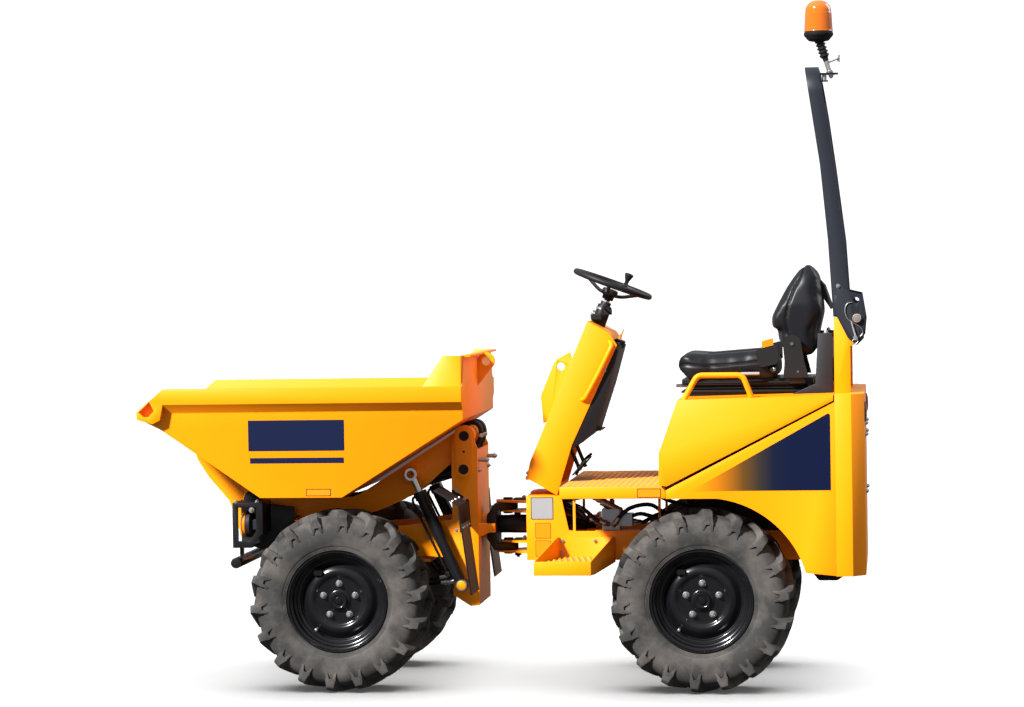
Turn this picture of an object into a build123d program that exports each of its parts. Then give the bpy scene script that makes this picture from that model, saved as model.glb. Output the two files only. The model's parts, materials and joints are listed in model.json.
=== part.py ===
"""A one tonne high-tip site dumper with articulated steering, modelled in millimetres.

+X points forward, +Y to the machine's left and +Z up. The origin lies on the ground under
the middle of the machine's box. Each sub-part is one solid node, written as one STEP file.
"""

import os
from math import atan2, cos, degrees, hypot, radians, sin

from build123d import *

os.makedirs("parts", exist_ok=True)

# ---------------------------------------------------------------- driving dimensions
RUNNING_GAP = 0.06            # radial clearance of a pin in its bore
SEAT_GAP = 0.3                # gap between pieces that rest on one another
SIDE_GAP = 2.0                # side play of a hinge boss between its plates

# Wheels and axles
FRONT_AXLE_X = 668.0
REAR_AXLE_X = -829.0
TYRE_RADIUS = 374.0           # to the tips of the lugs
AXLE_Z = 374.0                # height of the axles where the machine is drawn
TYRE_WIDTH = 260.0
WHEEL_Y = 360.0               # middle of the tyre
RIM_SEAT_RADIUS = 194.0       # 15.3 inch bead seat
RIM_FLANGE_RADIUS = 209.0
RIM_WALL = 7.0
RIM_DISH_IN = 38.0            # the disc lies this far inboard of the outer flange
LUG_HEIGHT = 25.0
LUGS_A_SIDE = 18
HUB_BORE_RADIUS = 42.0
HUB_RADIUS = 58.0
HUB_CAP_RADIUS = 34.0
AXLE_RADIUS = 52.0
WHEEL_NUT_PCD = 140.0
WHEEL_NUTS = 5
RIM_HALF = 112.0              # from the middle of the rim to the face of a flange
HUB_INNER_Y = -34.0            # inner end of the hub, from the middle of the wheel
AXLE_CASING_RADIUS = 92.0
AXLE_FLANGE_RADIUS = 76.0
AXLE_PAD = 75.0               # half length of the pad under the frame

# Centre joint
STEER_X = 18.0
OSCILLATION_Z = 643.0
STEER_PIN_RADIUS = 20.0
TRUNNION_RADIUS = 30.0
CLEVIS_PLATE = 8.0
CLEVIS_UPPER_Z = 749.0        # middle of the topmost clevis plate
CLEVIS_LOWER_Z = 537.0        # middle of the lowest clevis plate
CLEVIS_GAP = 34.0             # clear height between the two plates of a pair
YOKE_ARM = 28.0               # height of a yoke arm
YOKE_HALF_WIDTH = 84.0
YOKE_REAR_X = 58.0            # the plates of the rear half turn clear of this face
YOKE_FRONT_X = 98.0
STEER_FORK_Y = -140.0
STEER_RAM_Z = 640.0
STEER_EYE_WIDTH = 30.0
STEER_RAM_BASE_X = -320.0

# Mast and front frame
FRAME_HALF_WIDTH = 165.0      # outer face of the frame's side plates
FRAME_PLATE = 12.0
MAST_FRONT_X = 232.0
MAST_REAR_X = 122.0
MAST_FOOT_Z = 324.0
MAST_HEEL_X = MAST_REAR_X + 38   # the foot slants up from here to the toe
MAST_TOE_Z = 366.0
LIFT_PIVOT = (176.0, 1034.0)  # X, Z of the lift arm's pin
TIP_RAM_BASE = (180.0, 894.0)
LIFT_RAM_BASE = (189.0, 414.0)
LIFT_RAM_TOP = (396.0, 878.0)
LIFT_RAM_Y = 200.0
LIFT_PIN_RADIUS = 22.0
RAM_PIN_RADIUS = 16.0
RAM_EYE_WIDTH = 40.0
MAST_TOP_RADIUS = 44.0
MAST_WAIST_Z = 975.0          # the rear web is cut down to here for the hoses
BOSS_REAR_X = 104.0
BOSS_FRONT_X = 148.0
BOSS_RADIUS = 54.0
FRAME_FRONT_X = 1036.0
GUARD_OUT = 332.0
BUMPER_TUBE = (1121.0, 521.0)
BUMPER_RADIUS = 22.0
GUARD_SHEET = 4.0
MUDGUARD_OUT = 448.0
FLAP_FOOT_Z = 398.0

# Lift arm, skip pivot and tip ram
ARM_HALF_WIDTH = 130.0
ARM_PLATE = 12.0
SKIP_PIVOT = (1090.0, 775.0)
SKIP_PIVOT_RADIUS = 20.0
TIP_RAM_EYE = (1140.0, 625.0)
PIVOT_TUBE_RADIUS = 38.0
NOSE_BOSS_RADIUS = 40.0
NOSE_BOSS = (104.0, 144.0)
LIFT_BARREL_RADIUS = 25.0
LIFT_ROD_RADIUS = 15.0
LIFT_BARREL_END = 428.0
LIFT_STROKE = 262.0
TIP_BARREL_RADIUS = 28.0
TIP_ROD_RADIUS = 17.0
TIP_BARREL_END = 600.0
TIP_STROKE = 206.0

# Skip
SKIP_HALF_WIDTH = 481.0       # outer face of the rim band
SKIP_RIM_OUT = 36.0           # the band stands this far out from the side wall
SKIP_WALL = 6.0
SKIP_RIM_Z = 1255.0
SKIP_BAND_FOLD_Z = 1192.0
SKIP_BAND_FOOT_Z = 1155.0
SKIP_FLOOR_Z = 802.0
SKIP_BACK_TOP_Z = 1379.0
SKIP_BACK_X = 138.0
SKIP_LIP_X = 1497.0
SKIP_LIP_Z = 1160.0
LUG_PLATE = (85.0, 97.0)

# Rear chassis, deck and console
NOSE_FRONT_X = -86.0
NOSE_REAR_X = -262.0
CHASSIS_HALF_WIDTH = 200.0
CHASSIS_PLATE = 10.0
CHASSIS_BOTTOM_Z = 516.0
CHASSIS_RAIL_Z = 636.0        # top of the rails behind the nose
NOSE_TOP_Z = 782.0
CHASSIS_REAR_X = -1370.7
DECK_FRONT_X = -255.0
DECK_REAR_X = -686.0
DECK_TOP_Z = 838.0
DECK_SKIRT_Z = 791.0
DECK_HALF_WIDTH = 450.0
DECK_SHEET = 4.0
STEP_HALF_WIDTH = 481.0
CONSOLE_HALF_WIDTH = 165.0
CONSOLE_SHEET = 4.0
STEP_SHEET = 4.0
STEP_TREAD_Z = 528.0

# Rear body
BODY_HALF_WIDTH = 481.0
BODY_SHEET = 4.0
BODY_FRONT_X = -690.0
BODY_REAR_X = -1366.0
BODY_BOTTOM_Z = 792.0
ARCH_RADIUS = 431.0
SPLIT_FRONT_Z = 826.0         # the cover's seam at the front and rear of the body
SPLIT_REAR_Z = 1180.0
COVER_SEAM = 6.0
COVER_TOP_FRONT = (-742.0, 1190.0)
COVER_TOP_REAR_Z = 1203.0
COVER_FRONT_X = -662.0
COVER_HINGE = (-1358.0, 1222.0)
REAR_X = -1489.0              # rear face of the counterweight
REAR_CHAMFER = 52.0
REAR_BOTTOM_Z = 477.0

# Roll-over frame and beacon
POST_HALF_SPACING = 295.0
POST_X = -1402.0
POST_DEPTH = 65.0
POST_WIDTH = 60.0
POST_TOP_Z = 1514.0
ROPS_PIVOT = (-1463.0, 1507.0)
ROPS_PIN_RADIUS = 11.0
ROPS_TOP_Z = 2531.0
ROPS_TUBE_DEPTH = 56.0
ROPS_TUBE_WIDTH = 50.0
ROPS_PLATE = 8.0
ROPS_CORNER = 110.0
BEACON_RADIUS = 57.0
BEACON_DOME_HEIGHT = 42.0
STEM_DIRECTION = (22.0, 70.0)   # X, Z: the way the beacon leans

# Seat
SEAT_HALF_WIDTH = 232.0
SEAT_PAN_Z = 1262.0
BRACKET_IN = 214.0
SEAT_BACK_HALF = 198.0
CUSHION_CORNER = 60.0         # seen from above
CUSHION_FRONT_X = -712.0
CUSHION_REAR_X = -1152.0

# Steering wheel
WHEEL_TILT = 20.6
STEERING_CENTRE = (-442.0, 1658.0)
STEERING_RADIUS = 174.0
STEERING_GRIP_RADIUS = 12.0
HUB_DROP = 46.0
COLUMN_RADIUS = 30.0


# ---------------------------------------------------------------- drawing helpers
def side_plane(y):
    """A plane seen from the machine's right, X across and Z up, facing -Y."""
    return Plane(origin=(0, y, 0), x_dir=(1, 0, 0), z_dir=(0, -1, 0))


def plate(points, y_low, y_high, mode=Mode.ADD, corner=0.0):
    """A flat plate of the X, Z outline between two Y values, its corners rounded if asked."""
    with BuildSketch(side_plane(y_high)) as drawn:
        with BuildLine():
            Polyline(*points, close=True)
        make_face()
        if corner:
            fillet(drawn.vertices(), corner)
    extrude(drawn.sketch, amount=y_high - y_low, mode=mode)


def rod_y(radius, centre, y_low, y_high, mode=Mode.ADD):
    """A round bar along Y at the X, Z centre."""
    x, z = centre
    with Locations(Location((x, (y_low + y_high) / 2, z), (90, 0, 0))):
        Cylinder(radius, y_high - y_low, mode=mode)


def rod_x(radius, y, z, x_low, x_high, mode=Mode.ADD):
    """A round bar along X."""
    with Locations(Location(((x_low + x_high) / 2, y, z), (0, 90, 0))):
        Cylinder(radius, x_high - x_low, mode=mode)


def rod_z(radius, x, y, z_low, z_high, mode=Mode.ADD):
    """A round bar along Z."""
    with Locations((x, y, (z_low + z_high) / 2)):
        Cylinder(radius, z_high - z_low, mode=mode)


def rod_slanted(radius, start, along, y, near, far, mode=Mode.ADD):
    """A round bar in the side plane: from near to far along the X, Z direction at start."""
    length = hypot(*along)
    ux, uz = along[0] / length, along[1] / length
    middle = (near + far) / 2
    place = (start[0] + ux * middle, y, start[1] + uz * middle)
    with Locations(Location(place, (0, degrees(atan2(ux, uz)), 0))):
        Cylinder(radius, far - near, mode=mode)


def block(x_low, x_high, y_low, y_high, z_low, z_high, mode=Mode.ADD):
    """A box between two corners."""
    middle = ((x_low + x_high) / 2, (y_low + y_high) / 2, (z_low + z_high) / 2)
    with Locations(middle):
        Box(x_high - x_low, y_high - y_low, z_high - z_low, mode=mode)


def slab(points, z_low, z_high, mode=Mode.ADD):
    """A flat plate of the X, Y outline between two heights."""
    with BuildSketch(Plane.XY.offset(z_low)) as drawn:
        with BuildLine():
            Polyline(*points, close=True)
        make_face()
    extrude(drawn.sketch, amount=z_high - z_low, mode=mode)


def across(points, x_low, x_high, mode=Mode.ADD):
    """A flat plate of the Y, Z outline between two X values."""
    with BuildSketch(Plane.YZ.offset(x_low)) as drawn:
        with BuildLine():
            Polyline(*points, close=True)
        make_face()
    extrude(drawn.sketch, amount=x_high - x_low, mode=mode)


def between(side, inner, outer):
    """The low and high Y of a slice that lies inner to outer from the middle on one side."""
    return sorted((side * inner, side * outer))


def save(piece, name):
    """Stands a finished part on its tyres, labels it and writes its STEP file."""
    standing = piece.part.moved(Location((0, 0, TYRE_RADIUS - AXLE_Z)))
    standing.label = name
    export_step(standing, f"parts/{name}.step")


# ---------------------------------------------------------------- wheels
WHEELS = (  # name, axle X, side
    ("front_left", FRONT_AXLE_X, 1),
    ("front_right", FRONT_AXLE_X, -1),
    ("rear_left", REAR_AXLE_X, 1),
    ("rear_right", REAR_AXLE_X, -1),
)
TREAD_RADIUS = TYRE_RADIUS - LUG_HEIGHT
HALF_TYRE = TYRE_WIDTH / 2
BEAD_RADIUS = RIM_SEAT_RADIUS + SEAT_GAP
TYRE_SECTION = (  # radius, distance out from the middle of the tyre
    (BEAD_RADIUS, 97), (RIM_FLANGE_RADIUS + 1, 104), (RIM_FLANGE_RADIUS + 5, 114),
    (256, HALF_TYRE - 3), (296, HALF_TYRE - 5), (332, 112), (TREAD_RADIUS, 86),
)
LUG_ENVELOPE = (  # radius, distance out: the shape that the lugs' tips lie in
    (280, HALF_TYRE), (330, HALF_TYRE), (362, 118), (TYRE_RADIUS, 98),
)
LUG_OUTLINE = (  # along the tread, out from the middle: one slanted bar seen from above
    (58, -6), (30, -13), (-44, 76), (-50, 140), (-18, 140), (-14, 88),
)
DISC_Y = RIM_HALF - RIM_DISH_IN
STUB_END_Y = DISC_Y - 22      # outer end of the axle's stub
RIM_SECTION = (  # radius, distance out from the middle of the rim: outer skin, then inner
    (RIM_FLANGE_RADIUS, RIM_HALF), (RIM_FLANGE_RADIUS, RIM_HALF - 5), (RIM_SEAT_RADIUS, 100),
    (RIM_SEAT_RADIUS, 72), (168, 58), (168, -30), (RIM_SEAT_RADIUS, -72),
    (RIM_SEAT_RADIUS, -100), (RIM_FLANGE_RADIUS, -(RIM_HALF - 5)), (RIM_FLANGE_RADIUS, -RIM_HALF),
    (RIM_FLANGE_RADIUS - RIM_WALL, -RIM_HALF), (RIM_SEAT_RADIUS - RIM_WALL, -96),
    (168 - RIM_WALL, -30), (168 - RIM_WALL, DISC_Y - 34), (118, DISC_Y - 10), (100, DISC_Y - 22),
    (HUB_BORE_RADIUS, DISC_Y - 22), (HUB_BORE_RADIUS, DISC_Y - 12), (96, DISC_Y - 12),
    (116, DISC_Y), (168 - RIM_WALL, DISC_Y - 20), (168 - RIM_WALL, 62),
    (RIM_SEAT_RADIUS - RIM_WALL, 78), (RIM_SEAT_RADIUS - RIM_WALL, 102),
    (RIM_FLANGE_RADIUS - RIM_WALL, RIM_HALF),
)


def wheel_plane(hub_x, side):
    """Radius across and axle distance up the sketch, at the hub's height."""
    origin = (hub_x, side * WHEEL_Y, AXLE_Z)
    return Plane(origin=origin, x_dir=(1, 0, 0), z_dir=(0, 0, side))


for name, hub_x, side in WHEELS:
    axle = Axis((hub_x, 0, AXLE_Z), (0, 1, 0))
    with BuildPart() as rim:
        with BuildSketch(wheel_plane(hub_x, side)):
            with BuildLine():
                Polyline(*RIM_SECTION, close=True)
            make_face()
        revolve(axis=axle)
        for turn in range(WHEEL_NUTS):
            angle = radians(90 + turn * 360 / WHEEL_NUTS)
            nut = (hub_x + WHEEL_NUT_PCD / 2 * cos(angle),
                   AXLE_Z + WHEEL_NUT_PCD / 2 * sin(angle))
            rod_y(11, nut, *between(side, WHEEL_Y + DISC_Y - 14, WHEEL_Y + DISC_Y + 6))
        # the hub runs on the axle's stub and ends in a cap
        hub = (hub_x, AXLE_Z)
        rod_y(HUB_RADIUS, hub, *between(side, WHEEL_Y + HUB_INNER_Y, WHEEL_Y + DISC_Y - 12))
        rod_y(HUB_CAP_RADIUS, hub, *between(side, WHEEL_Y + DISC_Y - 13, WHEEL_Y + DISC_Y + 10))
        rod_y(HUB_BORE_RADIUS, hub, *between(side, WHEEL_Y + HUB_INNER_Y - 1, WHEEL_Y + STUB_END_Y + 2),
              Mode.SUBTRACT)
    save(rim, f"rim_{name}")

    with BuildPart(mode=Mode.PRIVATE) as lug:
        lug_plane = Plane(origin=(hub_x, side * WHEEL_Y, AXLE_Z + LUG_ENVELOPE[0][0]),
                          x_dir=(1, 0, 0), z_dir=(0, 0, 1))
        with BuildSketch(lug_plane):
            with BuildLine():
                Polyline(*LUG_OUTLINE, close=True)
            make_face()
        extrude(amount=TYRE_RADIUS + 10 - LUG_ENVELOPE[0][0])
    opposite = lug.part.mirror(Plane.XZ.offset(-side * WHEEL_Y))
    pitch = 360 / LUGS_A_SIDE

    with BuildPart() as tyre:
        add([lug.part.rotate(axle, turn * pitch) for turn in range(LUGS_A_SIDE)])
        add([opposite.rotate(axle, (turn + 0.5) * pitch) for turn in range(LUGS_A_SIDE)])
        for section, mode in ((LUG_ENVELOPE, Mode.INTERSECT), (TYRE_SECTION, Mode.ADD)):
            inner_half = [(radius, -out) for radius, out in reversed(section)]
            with BuildSketch(wheel_plane(hub_x, side)) as ring:
                with BuildLine():
                    Polyline(*section, *inner_half, close=True)
                make_face()
            revolve(ring.sketch, axis=axle, mode=mode)
    save(tyre, f"tyre_{name}")


# ---------------------------------------------------------------- front frame and mast
PLATE_IN = FRAME_HALF_WIDTH - FRAME_PLATE

MAST_OUTLINE = (
    (MAST_FRONT_X, MAST_TOE_Z), (MAST_HEEL_X, MAST_FOOT_Z - 4), (MAST_REAR_X, MAST_FOOT_Z),
    (MAST_REAR_X, MAST_WAIST_Z + 10), (LIFT_PIVOT[0] - MAST_TOP_RADIUS, 1005),
    (LIFT_PIVOT[0] - MAST_TOP_RADIUS, LIFT_PIVOT[1]), (LIFT_PIVOT[0] + MAST_TOP_RADIUS, LIFT_PIVOT[1]),
    (MAST_FRONT_X, 965),
)
SIDE_PLATE_OUTLINE = (
    (MAST_FRONT_X - 20, 686), (449, 658), (760, 640), (940, 600), (FRAME_FRONT_X, 590),
    (FRAME_FRONT_X, 500), (800, 474), (750, 440), (590, 440), (550, 480),
    (354, 532), (MAST_FRONT_X - 20, 520),
)

with BuildPart() as front_frame:
    for side in (1, -1):
        y_low, y_high = between(side, PLATE_IN, FRAME_HALF_WIDTH)
        plate(MAST_OUTLINE, y_low, y_high)
        rod_y(MAST_TOP_RADIUS, LIFT_PIVOT, y_low, y_high)
        plate(SIDE_PLATE_OUTLINE, y_low, y_high)
        # the doubler round both pin holes
        y_low, y_high = between(side, FRAME_HALF_WIDTH, FRAME_HALF_WIDTH + 6)
        middle_x = (LIFT_PIVOT[0] + TIP_RAM_BASE[0]) / 2
        block(middle_x - 37, middle_x + 37, y_low, y_high, TIP_RAM_BASE[1], LIFT_PIVOT[1])
        rod_y(37, (middle_x, LIFT_PIVOT[1]), y_low, y_high)
        rod_y(37, (middle_x, TIP_RAM_BASE[1]), y_low, y_high)
        # lift ram pin and its boss
        rod_y(22, LIFT_RAM_BASE, *between(side, FRAME_HALF_WIDTH,
                                          LIFT_RAM_Y - RAM_EYE_WIDTH / 2 - SEAT_GAP))
        rod_y(RAM_PIN_RADIUS, LIFT_RAM_BASE, *between(side, PLATE_IN, LIFT_RAM_Y + RAM_EYE_WIDTH / 2 + 4))
        # oscillation stop
        plate(((MAST_REAR_X, 664), (82, 661), (58, 661), (58, 625), (82, 625), (MAST_REAR_X, 605)),
              *between(side, 98, 128))
    # the web behind the mast, its foot and the cross members between the side plates
    block(MAST_REAR_X, MAST_REAR_X + FRAME_PLATE, -PLATE_IN, PLATE_IN, MAST_FOOT_Z, MAST_WAIST_Z)
    plate(((MAST_REAR_X + 5, MAST_FOOT_Z), (MAST_HEEL_X, MAST_FOOT_Z), (MAST_FRONT_X, MAST_TOE_Z),
           (MAST_FRONT_X, MAST_TOE_Z + 14), (MAST_HEEL_X, MAST_FOOT_Z + 14),
           (MAST_REAR_X + 5, MAST_FOOT_Z + 14)), -PLATE_IN, PLATE_IN)
    block(330, FRAME_FRONT_X - 4, -PLATE_IN, PLATE_IN, 504, 516)
    block(FRAME_FRONT_X - 12, FRAME_FRONT_X, -PLATE_IN, PLATE_IN, 504, 580)
    rod_y(LIFT_PIN_RADIUS, LIFT_PIVOT, -FRAME_HALF_WIDTH - 3, FRAME_HALF_WIDTH + 3)
    rod_y(RAM_PIN_RADIUS, TIP_RAM_BASE, -PLATE_IN, PLATE_IN)
    rod_x(BOSS_RADIUS, 0, OSCILLATION_Z, BOSS_REAR_X, BOSS_FRONT_X)
    rod_x(TRUNNION_RADIUS + RUNNING_GAP, 0, OSCILLATION_Z, BOSS_REAR_X - 1, BOSS_FRONT_X + 1, Mode.SUBTRACT)
save(front_frame, "front_frame")


def add_axle(axle_x):
    """The beam, its drive casing and the two stubs that the hubs run on."""
    centre = (axle_x, AXLE_Z)
    hub_face = WHEEL_Y + HUB_INNER_Y - SIDE_GAP
    rod_y(AXLE_RADIUS, centre, -hub_face + 24, hub_face - 24)
    rod_y(AXLE_CASING_RADIUS, centre, -90, 60)
    for side in (1, -1):
        rod_y(AXLE_FLANGE_RADIUS, centre, *between(side, hub_face - 24, hub_face))
        rod_y(HUB_BORE_RADIUS - RUNNING_GAP, centre, *between(side, hub_face - 1, WHEEL_Y + STUB_END_Y))


with BuildPart() as front_axle:
    add_axle(FRONT_AXLE_X)
    block(FRONT_AXLE_X - AXLE_PAD, FRONT_AXLE_X + AXLE_PAD, -PLATE_IN + SEAT_GAP, PLATE_IN - SEAT_GAP,
          AXLE_Z + 30, 504 - SEAT_GAP)
save(front_axle, "front_axle")

# The black bumper frame: wing boxes, lamp guards and the tube across the nose
GUARD_OUTLINE = ((1134, 772), (1012, 772), (1012, 640), (1054, 590), (1134, 590))
GUARD_WINDOW = ((1110, 752), (1034, 752), (1034, 652), (1064, 612), (1110, 612))
with BuildPart() as bumper_frame:
    for side in (1, -1):
        frame_face = FRAME_HALF_WIDTH + SEAT_GAP
        plate(((1134, 772), (905, 740), (905, 600), (1040, 560), (1134, 590)),
              *between(side, frame_face, frame_face + 8))
        y_low, y_high = between(side, GUARD_OUT - 8, GUARD_OUT)
        plate(GUARD_OUTLINE, y_low, y_high)
        plate(GUARD_WINDOW, y_low - 1, y_high + 1, Mode.SUBTRACT)
        y_low, y_high = between(side, frame_face, GUARD_OUT)
        block(1012, 1134, y_low, y_high, 766, 772)
        block(1006, 1012, y_low, y_high, 640, 772)
        block(1054, 1134, y_low, y_high, 584, 590)
        block(1100, 1112, *between(side, GUARD_OUT - 60, GUARD_OUT - 30), 523, 585)
    rod_y(BUMPER_RADIUS, BUMPER_TUBE, -GUARD_OUT - 8, GUARD_OUT + 8)
save(bumper_frame, "bumper_frame")

with BuildPart() as front_lamps:
    for side in (1, -1):
        rod_x(48, side * 265, 688, 1050, 1112)
        rod_x(24, side * 212, 700, 1062, 1106)
        block(1012 + SEAT_GAP, 1054, *between(side, 200, 300), 670, 706)
save(front_lamps, "front_lamps")

# Mudguards behind the front wheels: a folded sheet on the mast and a rubber flap under it
with BuildPart() as mudguards:
    for side in (1, -1):
        inner = FRAME_HALF_WIDTH + SEAT_GAP
        y_low, y_high = between(side, LIFT_RAM_Y + 40, MUDGUARD_OUT)
        plate(((262, 830), (160, 766), (152, 655), (152 + GUARD_SHEET, 655),
               (160 + GUARD_SHEET, 764), (264, 826)), y_low, y_high)
        plate(((154.2, 690), (151.7, 655), (118, FLAP_FOOT_Z), (112, FLAP_FOOT_Z), (145.7, 655),
               (148.2, 690)),
              y_low, y_high)
        # flange on the mast's side plate
        plate(((232, 812), (160, 766), (152, 655), (190, 655), (196, 740), (232, 770)),
              *between(side, inner, inner + GUARD_SHEET))
        plate(((160, 766), (152, 655), (152 + GUARD_SHEET, 655), (160 + GUARD_SHEET, 764)),
              *between(side, inner, LIFT_RAM_Y + 41))
save(mudguards, "mudguards")


# ---------------------------------------------------------------- centre joint
ARM_PLAY = (CLEVIS_GAP - YOKE_ARM) / 2
UPPER_ARM_TOP = CLEVIS_UPPER_Z - CLEVIS_PLATE / 2 - ARM_PLAY
LOWER_ARM_FOOT = CLEVIS_LOWER_Z + CLEVIS_PLATE / 2 + ARM_PLAY
UPPER_ARM = (UPPER_ARM_TOP - YOKE_ARM, UPPER_ARM_TOP)
LOWER_ARM = (LOWER_ARM_FOOT, LOWER_ARM_FOOT + YOKE_ARM)
with BuildPart() as yoke:
    # a C-shaped casting: both arms narrow from the back to a round eye
    with BuildSketch(Plane.XY.offset(LOWER_ARM[0])) as yoke_plan:
        with Locations((STEER_X, 0)):
            Circle(42)
        with Locations(((YOKE_FRONT_X + 70) / 2, 0)):
            Rectangle(YOKE_FRONT_X - 70, 2 * YOKE_HALF_WIDTH)
        make_hull()
    extrude(yoke_plan.sketch, amount=UPPER_ARM[1] - LOWER_ARM[0])
    block(-60, YOKE_REAR_X, -YOKE_HALF_WIDTH - 1, YOKE_HALF_WIDTH + 1, LOWER_ARM[1], UPPER_ARM[0],
          Mode.SUBTRACT)
    for outer_z, inner_z in ((LOWER_ARM[0] - 1, 596), (UPPER_ARM[1] + 1, 690)):
        plate(((YOKE_FRONT_X + 1, outer_z), (YOKE_FRONT_X + 1, inner_z), (66, outer_z)),
              -YOKE_HALF_WIDTH - 1, YOKE_HALF_WIDTH + 1, Mode.SUBTRACT)
    # ribs up the back of the casting
    for rib_y in (-50, 50):
        plate(((YOKE_FRONT_X - 1, 606), (YOKE_FRONT_X + 4, 612), (YOKE_FRONT_X + 4, 674),
               (YOKE_FRONT_X - 1, 680)),
              rib_y - 12, rib_y + 12)
    rod_z(STEER_PIN_RADIUS, STEER_X, 0, UPPER_ARM[0] - 19, UPPER_ARM[1] + 20)
    rod_z(STEER_PIN_RADIUS, STEER_X, 0, LOWER_ARM[0] - 20, LOWER_ARM[1] + 19)
    rod_x(TRUNNION_RADIUS, 0, OSCILLATION_Z, YOKE_REAR_X + 10, BOSS_FRONT_X + 17)
    rod_x(BOSS_RADIUS - 12, 0, OSCILLATION_Z, BOSS_FRONT_X + SIDE_GAP, BOSS_FRONT_X + 17)
    # the fork that takes the steering ram's rod
    for plate_z in (STEER_RAM_Z - STEER_EYE_WIDTH / 2 - 13, STEER_RAM_Z + STEER_EYE_WIDTH / 2):
        slab(((YOKE_REAR_X + 4, -30), (YOKE_REAR_X + 4, -74), (48, -92), (43, STEER_FORK_Y),
              (-7, STEER_FORK_Y), (-4, -112), (30, -44)), plate_z, plate_z + 13)
        rod_z(25, STEER_X, STEER_FORK_Y, plate_z, plate_z + 13)
    for z_low in (STEER_RAM_Z - STEER_EYE_WIDTH / 2 - 21, STEER_RAM_Z + STEER_EYE_WIDTH / 2 + 12):
        rod_z(13, STEER_X, STEER_FORK_Y, z_low, z_low + 9)
save(yoke, "yoke")

# ---------------------------------------------------------------- lift arm
ARM_IN = ARM_HALF_WIDTH - ARM_PLATE
PIVOT_TUBE_END = PLATE_IN - SIDE_GAP - 3
RAM_EYE_IN = LIFT_RAM_Y - RAM_EYE_WIDTH / 2
RAM_EYE_OUT = LIFT_RAM_Y + RAM_EYE_WIDTH / 2
ARM_OUTLINE = (
    (150, 1062), (196, 1062), (630, 790), (664, 778), (1010, 778), (1062, 804), (1090, 812), (1124, 794),
    (1128, 762), (1090, 737), (980, 708), (800, 690), (680, 696), (559, 717), (440, 766), (340, 828),
    (232, 924), (190, 990), (160, 1002), (142, 1022),
)
with BuildPart() as lift_arm:
    for side in (1, -1):
        plate(ARM_OUTLINE, *between(side, ARM_IN, ARM_HALF_WIDTH))
        rod_y(NOSE_BOSS_RADIUS, SKIP_PIVOT, *between(side, *NOSE_BOSS))
        # the boss beside the lift ram's upper eye, with its doubler
        rod_y(26, LIFT_RAM_TOP, *between(side, ARM_IN, RAM_EYE_IN - SEAT_GAP))
        rod_y(48, LIFT_RAM_TOP, *between(side, ARM_HALF_WIDTH, ARM_HALF_WIDTH + 8))
    rod_y(PIVOT_TUBE_RADIUS, LIFT_PIVOT, -PIVOT_TUBE_END, PIVOT_TUBE_END)
    rod_y(22, (300, 956), -ARM_IN - 1, ARM_IN + 1)
    rod_y(16, (430, 892), -ARM_IN - 1, ARM_IN + 1)
    rod_y(LIFT_PIN_RADIUS + RUNNING_GAP, LIFT_PIVOT, -PIVOT_TUBE_END - 1, PIVOT_TUBE_END + 1, Mode.SUBTRACT)
    rod_y(SKIP_PIVOT_RADIUS + RUNNING_GAP, SKIP_PIVOT, -NOSE_BOSS[1] - 1, NOSE_BOSS[1] + 1, Mode.SUBTRACT)
save(lift_arm, "lift_arm")

# The shaft that the skip turns on, with the collars outside the arm
with BuildPart() as nose_shaft:
    rod_y(SKIP_PIVOT_RADIUS, SKIP_PIVOT, -NOSE_BOSS[1] - 21, NOSE_BOSS[1] + 21)
    rod_y(29, SKIP_PIVOT, -80, 80)
    for side in (1, -1):
        y_low, y_high = between(side, NOSE_BOSS[1] + SIDE_GAP, NOSE_BOSS[1] + 20)
        rod_y(34, SKIP_PIVOT, y_low, y_high)
        plate(((1062, 752), (1104, 741), (1124, 762), (1116, 800), (1084, 809)), y_low, y_high)
save(nose_shaft, "nose_shaft")

# ---------------------------------------------------------------- rams
LIFT_DIRECTION = (LIFT_RAM_TOP[0] - LIFT_RAM_BASE[0], LIFT_RAM_TOP[1] - LIFT_RAM_BASE[1])
LIFT_LENGTH = hypot(*LIFT_DIRECTION)
TIP_DIRECTION = (TIP_RAM_EYE[0] - TIP_RAM_BASE[0], TIP_RAM_EYE[1] - TIP_RAM_BASE[1])
TIP_LENGTH = hypot(*TIP_DIRECTION)
for name, side in (("left", 1), ("right", -1)):
    ram_y = side * LIFT_RAM_Y
    eye_low, eye_high = between(side, RAM_EYE_IN, RAM_EYE_OUT)
    with BuildPart() as lift_barrel:
        rod_y(27, LIFT_RAM_BASE, eye_low, eye_high)
        rod_slanted(LIFT_BARREL_RADIUS, LIFT_RAM_BASE, LIFT_DIRECTION, ram_y, 25, LIFT_BARREL_END)
        rod_slanted(LIFT_BARREL_RADIUS + 4, LIFT_RAM_BASE, LIFT_DIRECTION, ram_y, LIFT_BARREL_END - 34,
                    LIFT_BARREL_END - 2)
        rod_slanted(LIFT_ROD_RADIUS + RUNNING_GAP, LIFT_RAM_BASE, LIFT_DIRECTION, ram_y, 60,
                    LIFT_BARREL_END + 1, Mode.SUBTRACT)
        rod_y(RAM_PIN_RADIUS + RUNNING_GAP, LIFT_RAM_BASE, eye_low - 1, eye_high + 1, Mode.SUBTRACT)
    save(lift_barrel, f"lift_barrel_{name}")
    with BuildPart() as lift_rod:
        rod_slanted(LIFT_ROD_RADIUS, LIFT_RAM_BASE, LIFT_DIRECTION, ram_y,
                    LIFT_BARREL_END - 40 - LIFT_STROKE, LIFT_LENGTH - 10)
        rod_y(26, LIFT_RAM_TOP, eye_low, eye_high)
        rod_y(RAM_PIN_RADIUS, LIFT_RAM_TOP, *between(side, RAM_EYE_OUT - 1, RAM_EYE_OUT + 6))
    save(lift_rod, f"lift_rod_{name}")

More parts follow.
